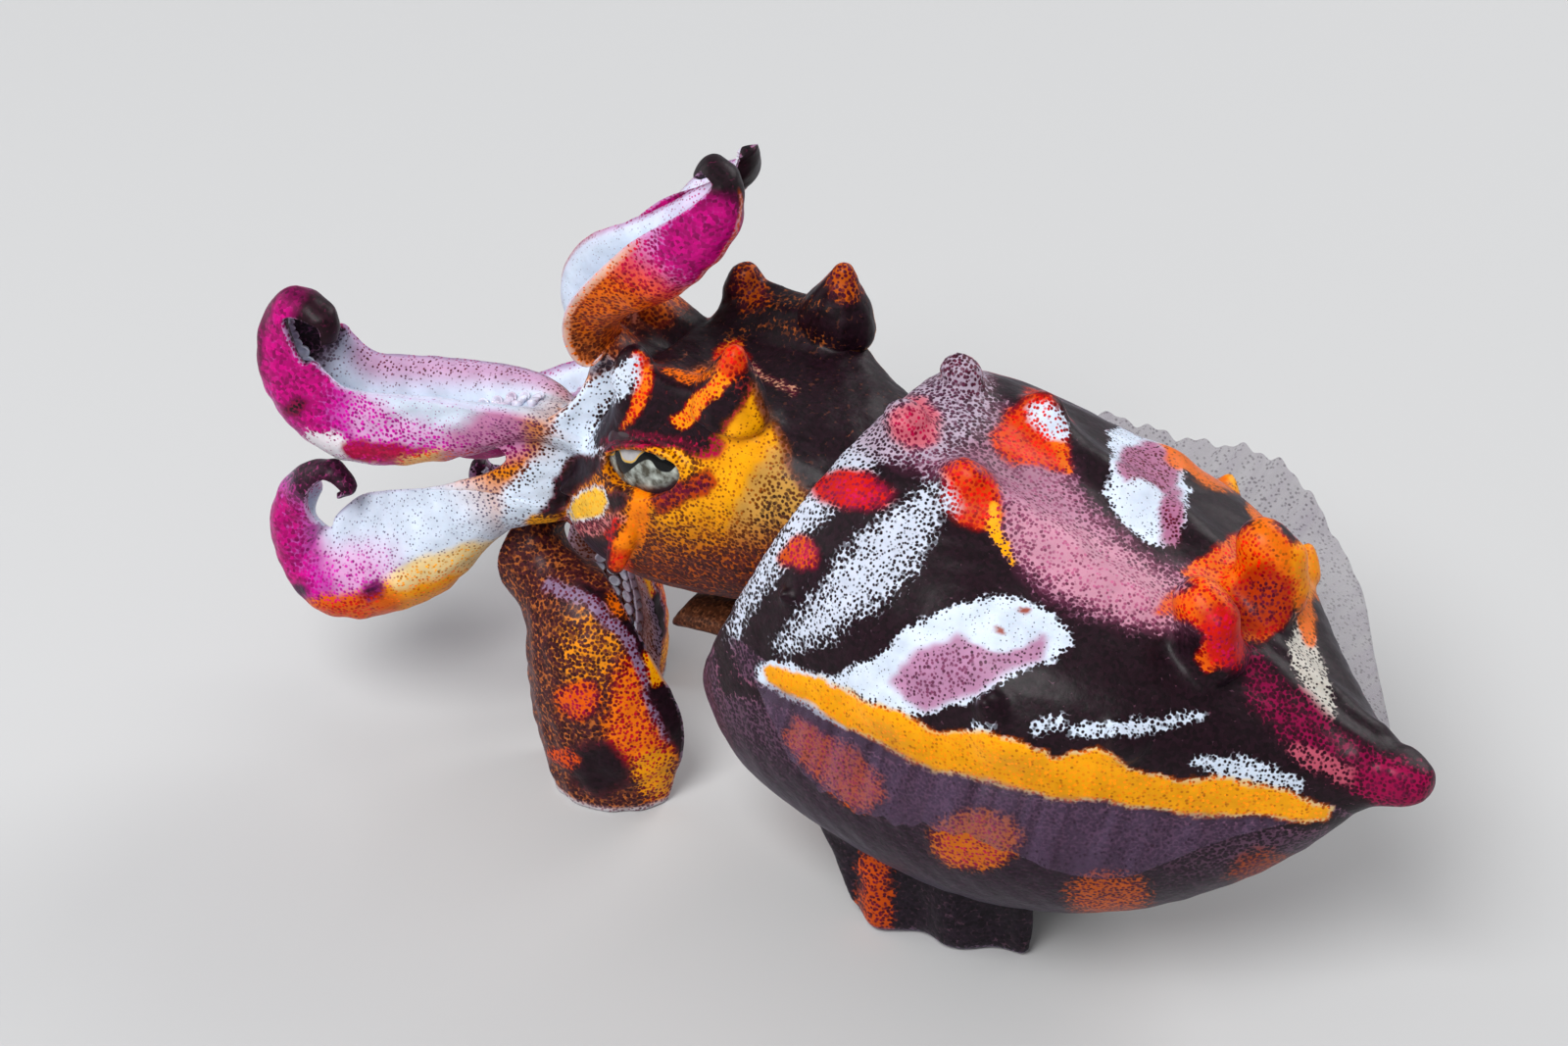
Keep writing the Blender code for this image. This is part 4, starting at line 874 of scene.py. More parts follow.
def paint_flesh(head, arms):
    """Colours the head and the arms together, so that each arm's colours run on into its root."""
    head_coat = painted_both_sides(head, paint_head)
    arm_coat = paint_arms(arms)
    place = read_number(arms, "place")
    own = smooth_step((place - 0.03) / 0.11)
    root_coat = painted_both_sides(arms, paint_head)
    root_coat.mixed(arm_coat, own)
    root_coat.write(arms)
    arm_points = read_points(arms)
    tree = KDTree(len(arm_points))
    for i, point in enumerate(arm_points):
        tree.insert(point, i)
    tree.balance()
    nearest = np.zeros(len(head_coat.cover), int)
    away = np.zeros(len(head_coat.cover))
    for i, point in enumerate(read_points(head)):
        _, nearest[i], away[i] = tree.find(point)
    share = inside(away - 1.4, 2.4) * own[nearest]
    head_coat.lay(share, root_coat.ground[nearest], root_coat.pigment[nearest], root_coat.cover[nearest])
    head_coat.write(head)


def paint_head(points, seen):
    coat = Coat(len(points), (0.66, 0.2, 0.01), BROWN, 0.5)
    high = points[:, 2]
    # yellow high on the cheek, olive at its rear, redder and darker low down
    coat.mark(dab(seen, (750, 485), 56, 80, 10), 70, ground=YELLOW, pigment=(0.3, 0.08, 0.01), cover=0.25)
    coat.mark(stripe(seen, ((752, 400), (760, 440), (764, 480)), (12, 18, 14)), 26, ground=YELLOW,
              cover=0.12)
    coat.mark(dab(seen, (790, 520), 26, 50, 25), 40, ground=(0.5, 0.27, 0.07), pigment=(0.05, 0.02, 0.01),
              cover=0.55)
    coat.lay(smooth_step((seen[:, 1] - 510) / 70), ground=(0.42, 0.09, 0.02), pigment=(0.05, 0.01, 0.01),
             cover=0.76)
    coat.lay(smooth_step((30.0 - high) / 5.0), ground=(0.16, 0.06, 0.03), pigment=(0.05, 0.018, 0.01),
             cover=0.75)
    # dark nape and crown
    nape = patch(seen, ((560, 250), (960, 250), (960, 400), (900, 440), (850, 500), (828, 510), (806, 470),
                        (792, 436), (768, 392), (757, 372), (745, 362), (700, 380), (660, 372), (600, 380)))
    coat.mark(nape, 14, ground=(0.22, 0.07, 0.04), pigment=INK, cover=0.93)
    # a painted highlight: a salmon streak along the dark nape
    coat.mark(stripe(seen, ((768, 374), (786, 387), (809, 400)), (2, 3, 2)), 9, ground=(0.6, 0.3, 0.2),
              pigment=MAROON, cover=0.55)
    for route in (((740, 345), (790, 330), (850, 350)), ((760, 318), (800, 305), (840, 312))):
        coat.mark(stripe(seen, route, (1, 3, 1)), 22, ground=(0.36, 0.1, 0.03), cover=0.7)
    for place in ((766, 290), (864, 284)):
        coat.mark(dab(seen, place, 15, 20), 22, ground=(0.5, 0.1, 0.015), pigment=MAROON, cover=0.5)
    paint_brow(coat, seen)
    paint_face(coat, seen)
    return coat


def paint_brow(coat, seen):
    """Over the eye: dark maroon with an orange stripe down each cone."""
    brow = patch(seen, ((642, 389), (650, 365), (671, 375), (695, 389), (724, 387), (744, 358), (766, 381),
                        (757, 412), (744, 428), (732, 444), (714, 461), (695, 452), (630, 448), (607, 463),
                        (601, 446), (607, 426), (622, 405)))
    coat.mark(brow, 9, ground=(0.3, 0.03, 0.03), pigment=INK, cover=0.94)
    coat.mark(dab(seen, (718, 455), 13, 8), 12, ground=CRIMSON, pigment=INK, cover=0.75)
    coat.mark(stripe(seen, ((652, 366), (658, 387), (654, 406), (646, 422), (640, 434)), (8, 9, 8, 5, 2)),
              7, ground=(0.74, 0.16, 0.006), pigment=RED, cover=0.4)
    coat.mark(dab(seen, (653, 369), 10, 7), 8, ground=(0.6, 0.06, 0.01), cover=0.5)
    coat.mark(stripe(seen, ((747, 360), (744, 378), (730, 396), (714, 411), (698, 427), (690, 426)),
                     (12, 9, 7, 9, 9, 4)), 7, ground=(0.8, 0.24, 0.006), pigment=RED, cover=0.3)
    coat.mark(dab(seen, (748, 368), 13, 14), 12, ground=(0.6, 0.06, 0.01), pigment=RED, cover=0.5)
    coat.mark(stripe(seen, ((683, 379), (703, 386), (718, 382)), (3, 4, 3)), 6, ground=ORANGE, cover=0.35)
    coat.mark(dab(seen, (756, 388), 7, 12), 10, pigment=INK, cover=0.8)
    lid = stripe(seen, ((620, 452), (650, 446), (690, 447), (706, 458)), (5, 6, 6, 5))
    coat.mark(lid, 6, ground=CRIMSON, pigment=MAROON, cover=0.75)
    ring = np.abs(dab(seen, (660, 475), 50, 29)) - 2
    coat.mark(ring, 8, pigment=INK, cover=0.9)


def paint_face(coat, seen):
    """Before and under the eye: the white border with its dots, the dark spot and the small patches."""
    border = patch(seen, ((645, 372), (618, 388), (591, 410), (574, 433), (556, 462), (540, 487),
                          (520, 503), (520, 530), (552, 520), (571, 505), (577, 489), (573, 477),
                          (581, 467), (607, 466), (601, 454), (599, 444), (605, 432), (611, 416),
                          (622, 405), (642, 389)))
    coat.mark(border - 3, 18, ground=WHITE, pigment=INK, cover=0.16)
    coat.mark(border + 9, 10, cover=0.06)
    coat.mark(stripe(seen, ((607, 473), (589, 479), (581, 493), (569, 510), (552, 527)), (7, 12, 9, 7, 5)),
              7, ground=MAROON, pigment=INK, cover=0.95)
    coat.mark(dab(seen, (628, 510), 9, 9), 8, ground=MAROON, pigment=INK, cover=0.9)
    low = patch(seen, ((556, 548), (601, 542), (622, 552), (626, 581), (642, 593), (654, 612), (690, 640),
                       (622, 622), (581, 595), (552, 572)))
    coat.mark(low, 14, ground=(0.12, 0.03, 0.03), pigment=INK, cover=0.93)
    coat.mark(dab(seen, (598, 536), 26, 8, -12), 10, ground=(0.6, 0.2, 0.2), pigment=MAROON, cover=0.7)
    yellow = patch(seen, ((581, 521), (591, 505), (605, 496), (618, 501), (620, 512), (609, 525),
                          (587, 533)))
    coat.mark(yellow - 1, 4, ground=WHITE, cover=0.15)
    coat.mark(yellow + 2, 5, ground=(0.85, 0.5, 0.08), pigment=YELLOW, cover=0.3)
    coat.mark(dab(seen, (554, 534), 12, 9), 9, ground=YELLOW, pigment=BROWN, cover=0.2)
    coat.mark(patch(seen, ((699, 493), (720, 479), (732, 489), (724, 504), (695, 514), (673, 520),
                           (667, 506), (683, 499))), 9, ground=(0.42, 0.06, 0.02), pigment=MAROON,
              cover=0.72)
    coat.mark(stripe(seen, ((654, 502), (652, 524), (648, 544), (638, 565), (634, 578)), (8, 10, 9, 9, 6)),
              6, ground=(0.82, 0.2, 0.004), pigment=ORANGE, cover=0.3)
    coat.mark(dab(seen, (634, 574), 9, 10), 9, ground=(0.66, 0.08, 0.01), pigment=RED, cover=0.5)
    coat.mark(dab(seen, (624, 548), 5, 14, 10), 7, ground=RED, pigment=MAROON, cover=0.5)


def paint_arms(skin):
    number = np.rint(read_number(skin, "arm")).astype(int)
    points = read_points(skin)
    inner = read_number(skin, "inner")
    place = read_number(skin, "place")
    across = read_number(skin, "across")
    side = across * np.where(number % 2 == 1, 1, -1)
    seen = np.stack([read_number(skin, "seen_right"), read_number(skin, "seen_down")], axis=1)
    seen = seen + wander(points, (4.0, 1.4), (3, 1.5), 31)
    coat = Coat(len(points), WHITE, (0.2, 0.15, 0.2), 0.05)
    painters = (paint_raised_arm, paint_upper_arm, paint_lower_arm, paint_leg)
    for kind, painter in enumerate(painters):
        here = ((number - 1) // 2 == kind).astype(float)
        painter(coat, seen, place, side, here * (1 - inner), here * inner)
    # a pale line along every edge
    edge = inside(0.975 - np.abs(across), 0.03)
    coat.lay(edge * 0.7 * smooth_step((place - 0.1) / 0.1), ground=(0.42, 0.34, 0.5), cover=0.1)
    return coat


def paint_raised_arm(coat, seen, place, side, out, within):
    """White within; outside orange at the root, then red, pink and magenta, with a blackish tip."""
    away = seen @ np.array((0.53, -0.85))
    # 0 at the arm's foot and 1 at its tip, along its slant
    rise = (away - (600 * 0.53 - 390 * 0.85)) / ((745 * 0.53 - 165 * 0.85) - (600 * 0.53 - 390 * 0.85))
    coat.lay(out, ground=(0.5, 0.13, 0.04), pigment=BROWN, cover=0.68)
    coat.lay(out * smooth_step((rise - 0.1) / 0.16), ground=(0.74, 0.14, 0.008), pigment=(0.2, 0.02, 0.01),
             cover=0.5)
    coat.lay(out * smooth_step((rise - 0.33) / 0.18), ground=(0.66, 0.08, 0.1), pigment=CRIMSON, cover=0.5)
    coat.lay(out * smooth_step((rise - 0.44) / 0.16), ground=(0.62, 0.24, 0.5), pigment=MAGENTA, cover=0.5)
    right = (seen[:, 0] - 640) * 0.85 + (seen[:, 1] - 280) * 0.53
    coat.lay(out * smooth_step((rise - 0.46) / 0.14) * smooth_step((right + 2) / 22), ground=PINK,
             pigment=MAGENTA, cover=0.92)
    coat.lay(out * smooth_step((rise - 0.62) / 0.12), ground=PINK, pigment=MAGENTA, cover=0.9)
    coat.lay(out * smooth_step((rise - 0.8) / 0.14), ground=(0.2, 0.01, 0.08), pigment=(0.02, 0.003, 0.01),
             cover=0.85)
    pale = out * smooth_step((side - 0.86) / 0.08)
    pale = pale * smooth_step((0.5 - place) / 0.1) * smooth_step((place - 0.08) / 0.1)
    coat.lay(pale, ground=(0.72, 0.45, 0.34), pigment=ORANGE, cover=0.2)
    flecks = out * inside(np.abs(side - 0.12) - 0.06, 0.1) * smooth_step((place - 0.3) / 0.1)
    coat.lay(0.7 * flecks, ground=(0.8, 0.4, 0.3), pigment=ORANGE, cover=0.3)
    both = out + within
    coat.lay(within * smooth_step((place - 0.4) / 0.2), ground=(0.6, 0.5, 0.68), pigment=MAGENTA,
             cover=0.15)
    coat.lay(both * smooth_step((place - 0.66) / 0.07), ground=(0.2, 0.02, 0.08),
             pigment=(0.008, 0.003, 0.005), cover=0.93)


def paint_upper_arm(coat, seen, place, side, out, within):
    """White along the near edge, then lilac and pink, magenta at the end and crimson and yellow below."""
    both = out + within
    coat.lay(out, ground=WHITE, pigment=(0.3, 0.1, 0.25), cover=0.06)
    coat.lay(out * smooth_step((side + 0.2) / 0.4), ground=LILAC, pigment=MAGENTA, cover=0.3)
    slope = seen[:, 1] - np.interp(seen[:, 0], (340, 402, 473, 560), (350, 392, 418, 440))
    coat.lay(out * smooth_step((slope - 16) / 26) * smooth_step((560 - seen[:, 0]) / 50),
             ground=(0.6, 0.33, 0.55), pigment=(0.4, 0.03, 0.25), cover=0.42)
    end = patch(seen, ((240, 280), (345, 290), (350, 345), (352, 380), (336, 425), (350, 462), (290, 440),
                       (250, 380)))
    coat.mark(end, 44, ground=PINK, pigment=MAGENTA, cover=0.9, where=out)
    coat.mark(stripe(seen, ((318, 446), (345, 459), (372, 467)), (6, 9, 5)), 12, ground=(0.75, 0.7, 0.74),
              cover=0.06, where=out)
    coat.mark(stripe(seen, ((362, 458), (400, 464), (436, 466)), (7, 8, 6)), 12, ground=CRIMSON,
              pigment=CRIMSON, cover=0.6, where=out)
    coat.mark(stripe(seen, ((418, 474), (450, 470), (484, 468)), (8, 9, 7)), 10, ground=(0.8, 0.46, 0.16),
              pigment=ORANGE, cover=0.25, where=out)
    coat.mark(dab(seen, (520, 455), 44, 26, -12), 40, ground=(0.5, 0.2, 0.35), pigment=(0.14, 0.01, 0.07),
              cover=0.5, where=out)
    root = patch(seen, ((545, 440), (560, 400), (590, 380), (640, 380), (600, 500), (560, 490), (548, 460)))
    coat.mark(root, 26, ground=(0.5, 0.2, 0.12), pigment=BROWN, cover=0.55, where=out)
    coat.mark(dab(seen, (302, 416), 12, 9, -40), 9, ground=(0.2, 0.01, 0.05), pigment=INK, cover=0.6,
              where=out)
    rim = patch(seen, ((258, 380), (256, 320), (282, 290), (330, 290), (330, 306), (288, 306), (270, 330),
                       (268, 385)))
    coat.mark(rim, 10, pigment=(0.12, 0.002, 0.045), cover=0.95, where=out)
    coat.lay(within * smooth_step((place - 0.42) / 0.16), ground=(0.1, 0.03, 0.07), pigment=INK, cover=0.8)
    coat.lay(within * smooth_step((side - 0.68) / 0.25) * smooth_step((0.5 - place) / 0.1),
             ground=(0.5, 0.3, 0.45), pigment=MAROON, cover=0.2)
    hook = smooth_step((place - 0.78) / 0.05)
    coat.lay(both * hook, ground=(0.2, 0.02, 0.08), pigment=(0.012, 0.003, 0.006), cover=0.92)


def paint_lower_arm(coat, seen, place, side, out, within):
    """White with lilac, a magenta end, and orange turning yellow along the lower edge."""
    both = out + within
    coat.lay(out, ground=WHITE, pigment=(0.1, 0.1, 0.16), cover=0.1)
    coat.lay(out * smooth_step((side - 0.1) / 0.4), ground=LILAC, pigment=MAGENTA, cover=0.3)
    coat.lay(out * smooth_step((seen[:, 1] - 535) / 50) * smooth_step((430 - seen[:, 0]) / 60),
             ground=(0.62, 0.32, 0.55), pigment=(0.42, 0.05, 0.28), cover=0.35)
    end = patch(seen, ((265, 500), (300, 500), (316, 520), (312, 560), (325, 600), (300, 630), (265, 600)))
    coat.mark(end, 40, ground=PINK, pigment=MAGENTA, cover=0.88, where=out)
    lower = stripe(seen, ((318, 628), (350, 630), (392, 618), (430, 604), (470, 592), (520, 578)),
                   (13, 17, 17, 16, 14, 10))
    coat.mark(lower, 16, ground=(0.82, 0.3, 0.006), pigment=ORANGE, cover=0.25, where=out)
    coat.mark(dab(seen, (350, 624), 46, 15, -8), 14, ground=(0.68, 0.12, 0.01), pigment=RED, cover=0.5,
              where=out)
    coat.mark(stripe(seen, ((410, 590), (460, 572), (520, 560)), (5, 8, 6)), 16, ground=(0.8, 0.6, 0.3),
              pigment=YELLOW, cover=0.3, where=out)
    for place_seen, across in (((305, 602), 9), ((381, 604), 9)):
        coat.mark(dab(seen, place_seen, across, 8), 8, ground=(0.2, 0.02, 0.1), pigment=(0.04, 0.004, 0.03),
                  cover=0.85, where=out)
    coat.lay(within, ground=WHITE, pigment=MAGENTA, cover=0.06)
    coat.lay(within * smooth_step((place - 0.5) / 0.2), ground=(0.5, 0.28, 0.48), pigment=MAGENTA,
             cover=0.4)
    coat.lay(both * smooth_step((place - 0.63) / 0.08), ground=(0.24, 0.03, 0.12),
             pigment=(0.02, 0.004, 0.012), cover=0.85)


def paint_leg(coat, seen, place, side, out, within):
    """Brown stipple with orange glows on the near face, and a black and yellow band behind its keel."""
    coat.lay(out, ground=(0.4, 0.12, 0.04), pigment=(0.04, 0.01, 0.012), cover=0.78)
    coat.lay(within, ground=(0.3, 0.16, 0.16), pigment=BROWN, cover=0.5)
    coat.mark(dab(seen, (607, 662), 24, 28), 40, ground=(0.72, 0.26, 0.04), pigment=(0.08, 0.02, 0.015),
              cover=0.62, where=out)
    coat.mark(dab(seen, (590, 716), 17, 16), 16, ground=(0.68, 0.1, 0.01), pigment=(0.3, 0.01, 0.04),
              cover=0.4, where=out)
    big = stripe(seen, ((645, 682), (642, 710), (642, 734), (646, 750), (666, 773), (672, 800)),
                 (9, 14, 20, 23, 18, 13))
    coat.mark(big, 26, ground=(0.76, 0.16, 0.006), pigment=(0.34, 0.02, 0.03), cover=0.45, where=out)
    coat.mark(dab(seen, (668, 790), 18, 20), 14, ground=(0.8, 0.3, 0.006), cover=0.3, where=out)
    coat.mark(dab(seen, (612, 785), 26, 24), 14, ground=MAROON, pigment=INK, cover=0.95, where=out)
    coat.mark(dab(seen, (576, 773), 14, 8, 20), 8, ground=(0.6, 0.08, 0.02), pigment=MAROON, cover=0.45,
              where=out)
    behind = patch(seen, ((590, 596), (630, 612), (676, 630), (706, 652), (722, 700), (718, 750),
                          (700, 782), (686, 757), (670, 728), (661, 696), (654, 678), (645, 658),
                          (632, 642), (612, 624)))
    coat.mark(behind, 8, ground=MAROON, pigment=INK, cover=0.95, where=out)
    coat.mark(dab(seen, (626, 620), 12, 8, 35), 8, ground=ORANGE, pigment=BROWN, cover=0.5, where=out)
    yellow = patch(seen, ((659, 667), (680, 659), (701, 654), (716, 673), (716, 693), (698, 693),
                          (683, 691), (670, 699), (662, 686)))
    coat.mark(yellow, 6, ground=YELLOW, pigment=RED, cover=0.12, where=out)
    keel = stripe(seen, ((560, 598), (594, 609), (613, 625), (632, 643), (645, 659), (654, 679), (661, 696),
                         (669, 730), (680, 755)), (5, 5, 4, 4, 3, 3, 2, 2, 1))
    coat.mark(keel, 6, ground=(0.24, 0.16, 0.26), pigment=MAROON, cover=0.35, where=out)
    coat.lay(smooth_step((place - 0.955) / 0.03) * (out + within), ground=(0.5, 0.47, 0.5),
             pigment=(0.2, 0.12, 0.14), cover=0.35)


# suckers: size for each millimetre of the arm's half width with its least and most, step along the arm for
# each millimetre of size, and the four rows' places across
SUCKER_SIZE = 0.075
SUCKER_SIZES = (0.26, 0.85)
SUCKER_STEP = 2.3
SUCKER_ROWS = (-0.54, -0.19, 0.19, 0.54)
SUCKER_SIDES = 10
# shares of an arm at which the suckers start and end, how far every other row is moved across, and the
# least height over the floor in sizes
SUCKER_FROM = 0.12
SUCKER_TO = 0.95
SUCKER_SHIFT = 0.02
SUCKER_LOW = 1.6
# share of an arm looked ahead for its way, and the least length in millimetres that it is taken to have
SUCKER_LOOK = 0.01
SUCKER_LENGTH = 10.0
# reach out from the skin and width of a sucker's rings, in sizes, from its foot over its rim to its hollow,
# and the reach of the middles of its hollow and its foot
SUCKER_RINGS = ((-0.5, 0.62), (0.25, 0.72), (0.6, 1.0), (0.8, 0.9), (0.66, 0.66), (0.3, 0.3))
SUCKER_MIDDLES = (0.2, -0.5)


def add_sucker(points, faces, place, way, along, size):
    """Adds one small cup's points and faces, ring by ring from its foot over its rim to its hollow."""
    side = np.cross(way, along)
    start = len(points)
    for reach, wide in SUCKER_RINGS:
        for turn in np.arange(SUCKER_SIDES) / SUCKER_SIDES * 2 * math.pi:
            points.append(place + way * (reach * size)
                          + (along * math.cos(turn) + side * math.sin(turn)) * (wide * size))
    points.extend(place + way * (reach * size) for reach in SUCKER_MIDDLES)
    last = start + (len(SUCKER_RINGS) - 1) * SUCKER_SIDES
    for ring in range(start, last, SUCKER_SIDES):
        for k in range(SUCKER_SIDES):
            a = ring + k
            b = ring + (k + 1) % SUCKER_SIDES
            faces.append((a, b, b + SUCKER_SIDES, a + SUCKER_SIDES))
    hollow = last + SUCKER_SIDES
    for k in range(SUCKER_SIDES):
        onward = (k + 1) % SUCKER_SIDES
        faces.append((last + k, last + onward, hollow))
        faces.append((start + onward, start + k, hollow + 1))


def build_suckers():
    """Four rows of small cups along the inside of every arm, as one mesh."""
    points = []
    faces = []
    within = np.ones(len(SUCKER_ROWS))
    for controls in ARMS.values():
        share = SUCKER_FROM
        row = 0
        while share < SUCKER_TO:
            here, beyond = smooth_curve(controls, [share, share + SUCKER_LOOK])
            size = min(max(here[6] * SUCKER_SIZE, SUCKER_SIZES[0]), SUCKER_SIZES[1])
            frames = arm_frames(controls, [share, share + SUCKER_LOOK])
            steps = np.zeros(len(SUCKER_ROWS), int)
            across = np.array(SUCKER_ROWS) + SUCKER_SHIFT * (-1)**row
            places, ways = arm_surface(frames, steps, across, within)
            ahead, _ = arm_surface(frames, steps + 1, across, within)
            for place, way, next_place in zip(places, -ways, ahead):
                if place[2] >= SUCKER_LOW * size:
                    add_sucker(points, faces, place, way, unit(next_place - place), size)
            length = np.linalg.norm(beyond[:3] - here[:3]) / SUCKER_LOOK
            share += SUCKER_STEP * size / max(length, SUCKER_LENGTH)
            row += 1
    mesh = bpy.data.meshes.new("suckers")
    mesh.from_pydata([tuple(point) for point in to_frame(points)], [], faces)
    piece = bpy.data.objects.new("suckers", mesh)
    bpy.context.scene.collection.objects.link(piece)
    face_out(piece)
    mesh.shade_smooth()
    mesh.materials.append(sucker_material())
    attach(piece, "root")
    return piece


def node_tools(mat):
    """Short ways to add nodes to a material and link them."""
    nodes = mat.node_tree.nodes
    links = mat.node_tree.links

    def add(kind, inputs=None, **settings):
        node = nodes.new(kind)
        for name, value in settings.items():
            setattr(node, name, value)
        for name, value in (inputs or {}).items():
            socket = node.inputs[name]
            if isinstance(value, bpy.types.NodeSocket):
                links.new(value, socket)
            else:
                socket.default_value = value
        return node

    def maths(operation, a, b=None, c=None, clamp=False):
        node = add("ShaderNodeMath", operation=operation, use_clamp=clamp)
        for socket, value in zip(node.inputs, (a, b, c)):
            if isinstance(value, bpy.types.NodeSocket):
                links.new(value, socket)
            elif value is not None:
                socket.default_value = value
        return node.outputs[0]

    def mix(share, a, b):
        node = add("ShaderNodeMix", data_type="RGBA")
        for socket, value in ((node.inputs[0], share), (node.inputs[6], a), (node.inputs[7], b)):
            if isinstance(value, bpy.types.NodeSocket):
                links.new(value, socket)
            else:
                socket.default_value = value
        return node.outputs[2]

    def kept(name, output="Fac"):
        return add("ShaderNodeAttribute", attribute_name=name).outputs[output]

    def noise(place, scale, detail, output="Fac"):
        inputs = {"Vector": place, "Scale": scale, "Detail": detail}
        return add("ShaderNodeTexNoise", inputs).outputs[output]

    return add, maths, mix, kept, noise


def set_inputs(node, values):
    for name, value in values.items():
        node.inputs[name].default_value = value


def new_material(name):
    mat = bpy.data.materials.new(name)
    mat.use_nodes = True
    return mat, mat.node_tree.nodes["Principled BSDF"]


# sizes of the skin's colour cells, from the finest
CELL_SIZES = (0.4, 0.66)
# share of the noise's colour that is added to the places of the cells, to bend their edges
CELL_BEND = 0.0003
# the violet of light that grazes the skin
SHEEN_TINT = (0.62, 0.6, 1.0, 1.0)


def skin_material(name):
    """Wet skin whose colour cells grow and run together where they cover more of the ground."""
    mat, shader = new_material(name)
    add, maths, mix, kept, noise = node_tools(mat)
    link = mat.node_tree.links.new
    place = add("ShaderNodeTexCoord").outputs["Object"]
    ground = kept("ground", "Color")
    pigment = kept("pigment", "Color")
    cover = kept("cover")
    stray = noise(place, 900.0, 2.0, "Color")
    bent = add("ShaderNodeMix", {}, data_type="VECTOR")
    bent.inputs[0].default_value = CELL_BEND
    link(place, bent.inputs[4])
    link(stray, bent.inputs[5])
    layers = []
    for i, size in enumerate(CELL_SIZES):
        cells = add("ShaderNodeTexVoronoi", {"Vector": bent.outputs[1], "Scale": 1 / (size * MM),
                                             "Randomness": 0.85})
        reach = maths("MULTIPLY_ADD", maths("POWER", cover, 0.45 + 0.35 * i), 0.66 - 0.1 * i,
                      maths("MULTIPLY", maths("POWER", cover, 9.0), 0.5))
        layers.append(maths("MULTIPLY_ADD", maths("SUBTRACT", reach, cells.outputs["Distance"]), 6.0, 0.4,
                            clamp=True))
        if i == 0:
            tint = add("ShaderNodeSeparateColor", {"Color": cells.outputs["Color"]}).outputs[0]
    shown = maths("MAXIMUM", layers[0], maths("MULTIPLY", layers[1], 0.8))
    varied = add("ShaderNodeHueSaturation", {"Color": pigment, "Hue": 0.5, "Saturation": 1.1})
    link(maths("MULTIPLY_ADD", tint, 1.1, 0.55), varied.inputs["Value"])
    cloud = noise(place, 420.0, 4.0)
    clouded = add("ShaderNodeHueSaturation", {"Color": ground, "Hue": 0.5, "Saturation": 1.05})
    link(maths("MULTIPLY_ADD", cloud, 0.6, 0.68), clouded.inputs["Value"])
    link(mix(shown, clouded.outputs["Color"], varied.outputs["Color"]), shader.inputs["Base Color"])
    grain = noise(place, 1500.0, 2.0)
    folds = noise(place, 380.0, 3.0)
    height = maths("ADD", grain, maths("MULTIPLY", folds, 0.6))
    bump = add("ShaderNodeBump", {"Strength": 0.35, "Distance": 0.00016, "Height": height})
    link(bump.outputs["Normal"], shader.inputs["Normal"])
    link(maths("MULTIPLY_ADD", grain, 0.2, 0.36), shader.inputs["Roughness"])
    set_inputs(shader, {
        "Specular IOR Level": 0.12,
        "Subsurface Weight": 0.1,
        "Subsurface Radius": (1.0, 0.45, 0.35),
        "Subsurface Scale": 0.0009,
        "Coat Weight": 0.04,
        "Coat Roughness": 0.2,
        "Sheen Weight": 0.04,
        "Sheen Roughness": 0.3,
        "Sheen Tint": SHEEN_TINT,
    })
    return mat


def sucker_material():
    """Pale, bluish white cups with a faint mauve stain."""
    mat, shader = new_material("sucker_flesh")
    add, maths, mix, _, noise = node_tools(mat)
    place = add("ShaderNodeTexCoord").outputs["Object"]
    stain = noise(place, 260.0, 3.0)
    colour = mix(maths("MULTIPLY_ADD", stain, 2.2, -0.75, clamp=True), (0.66, 0.7, 0.8, 1.0),
                 (0.42, 0.26, 0.38, 1.0))
    mat.node_tree.links.new(colour, shader.inputs["Base Color"])
    mat.node_tree.links.new(maths("MULTIPLY_ADD", stain, 0.2, 0.25), shader.inputs["Roughness"])
    set_inputs(shader, {
        "Subsurface Weight": 0.2,
        "Subsurface Radius": (1.0, 0.6, 0.6),
        "Subsurface Scale": 0.0005,
        "Coat Weight": 0.3,
    })
    return mat


# how far the fins are moved in to the body, and how far in from their outer edge they ripple
FIN_TUCK = 0.6
FIN_RIPPLE_REACH = 6.0


def build_fin(node):
    """A thin, see-through fin, finer rippled than its solid toward its edge."""
    piece = flesh_copy(node, 3)
    piece.name = f"{node}_veil"
    points = read_points(piece)
    side = -1 if "left" in node else 1
    solid = np.abs(points[:, 1])
    points[:, 1] -= side * FIN_TUCK
    edge = smooth_step((solid - np.percentile(solid, 55)) / FIN_RIPPLE_REACH)
    points[:, 2] += edge * (0.35 * np.sin(points[:, 0] * 1.3) + 0.25 * np.sin(points[:, 0] * 2.9 + 1.0))
    write_points(piece, points)
    # the left fin's root lets the yellow band show through
    seen = sight(points)
    band_x, band_y = zip(*FIN_BAND)
    low_edge = np.interp(seen[:, 0], band_x, band_y) + np.interp(seen[:, 0], band_x, FIN_BAND_WIDTHS)
    shown = smooth_step((seen[:, 1] - low_edge + 2) / 8.0) if side < 0 else np.ones(len(points))
    write_number(piece, "shown", shown)
    piece.data.shade_smooth()
    piece.data.materials.append(fin_material(f"{node}_membrane"))
    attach(piece, "root")
    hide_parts(node)
    return piece


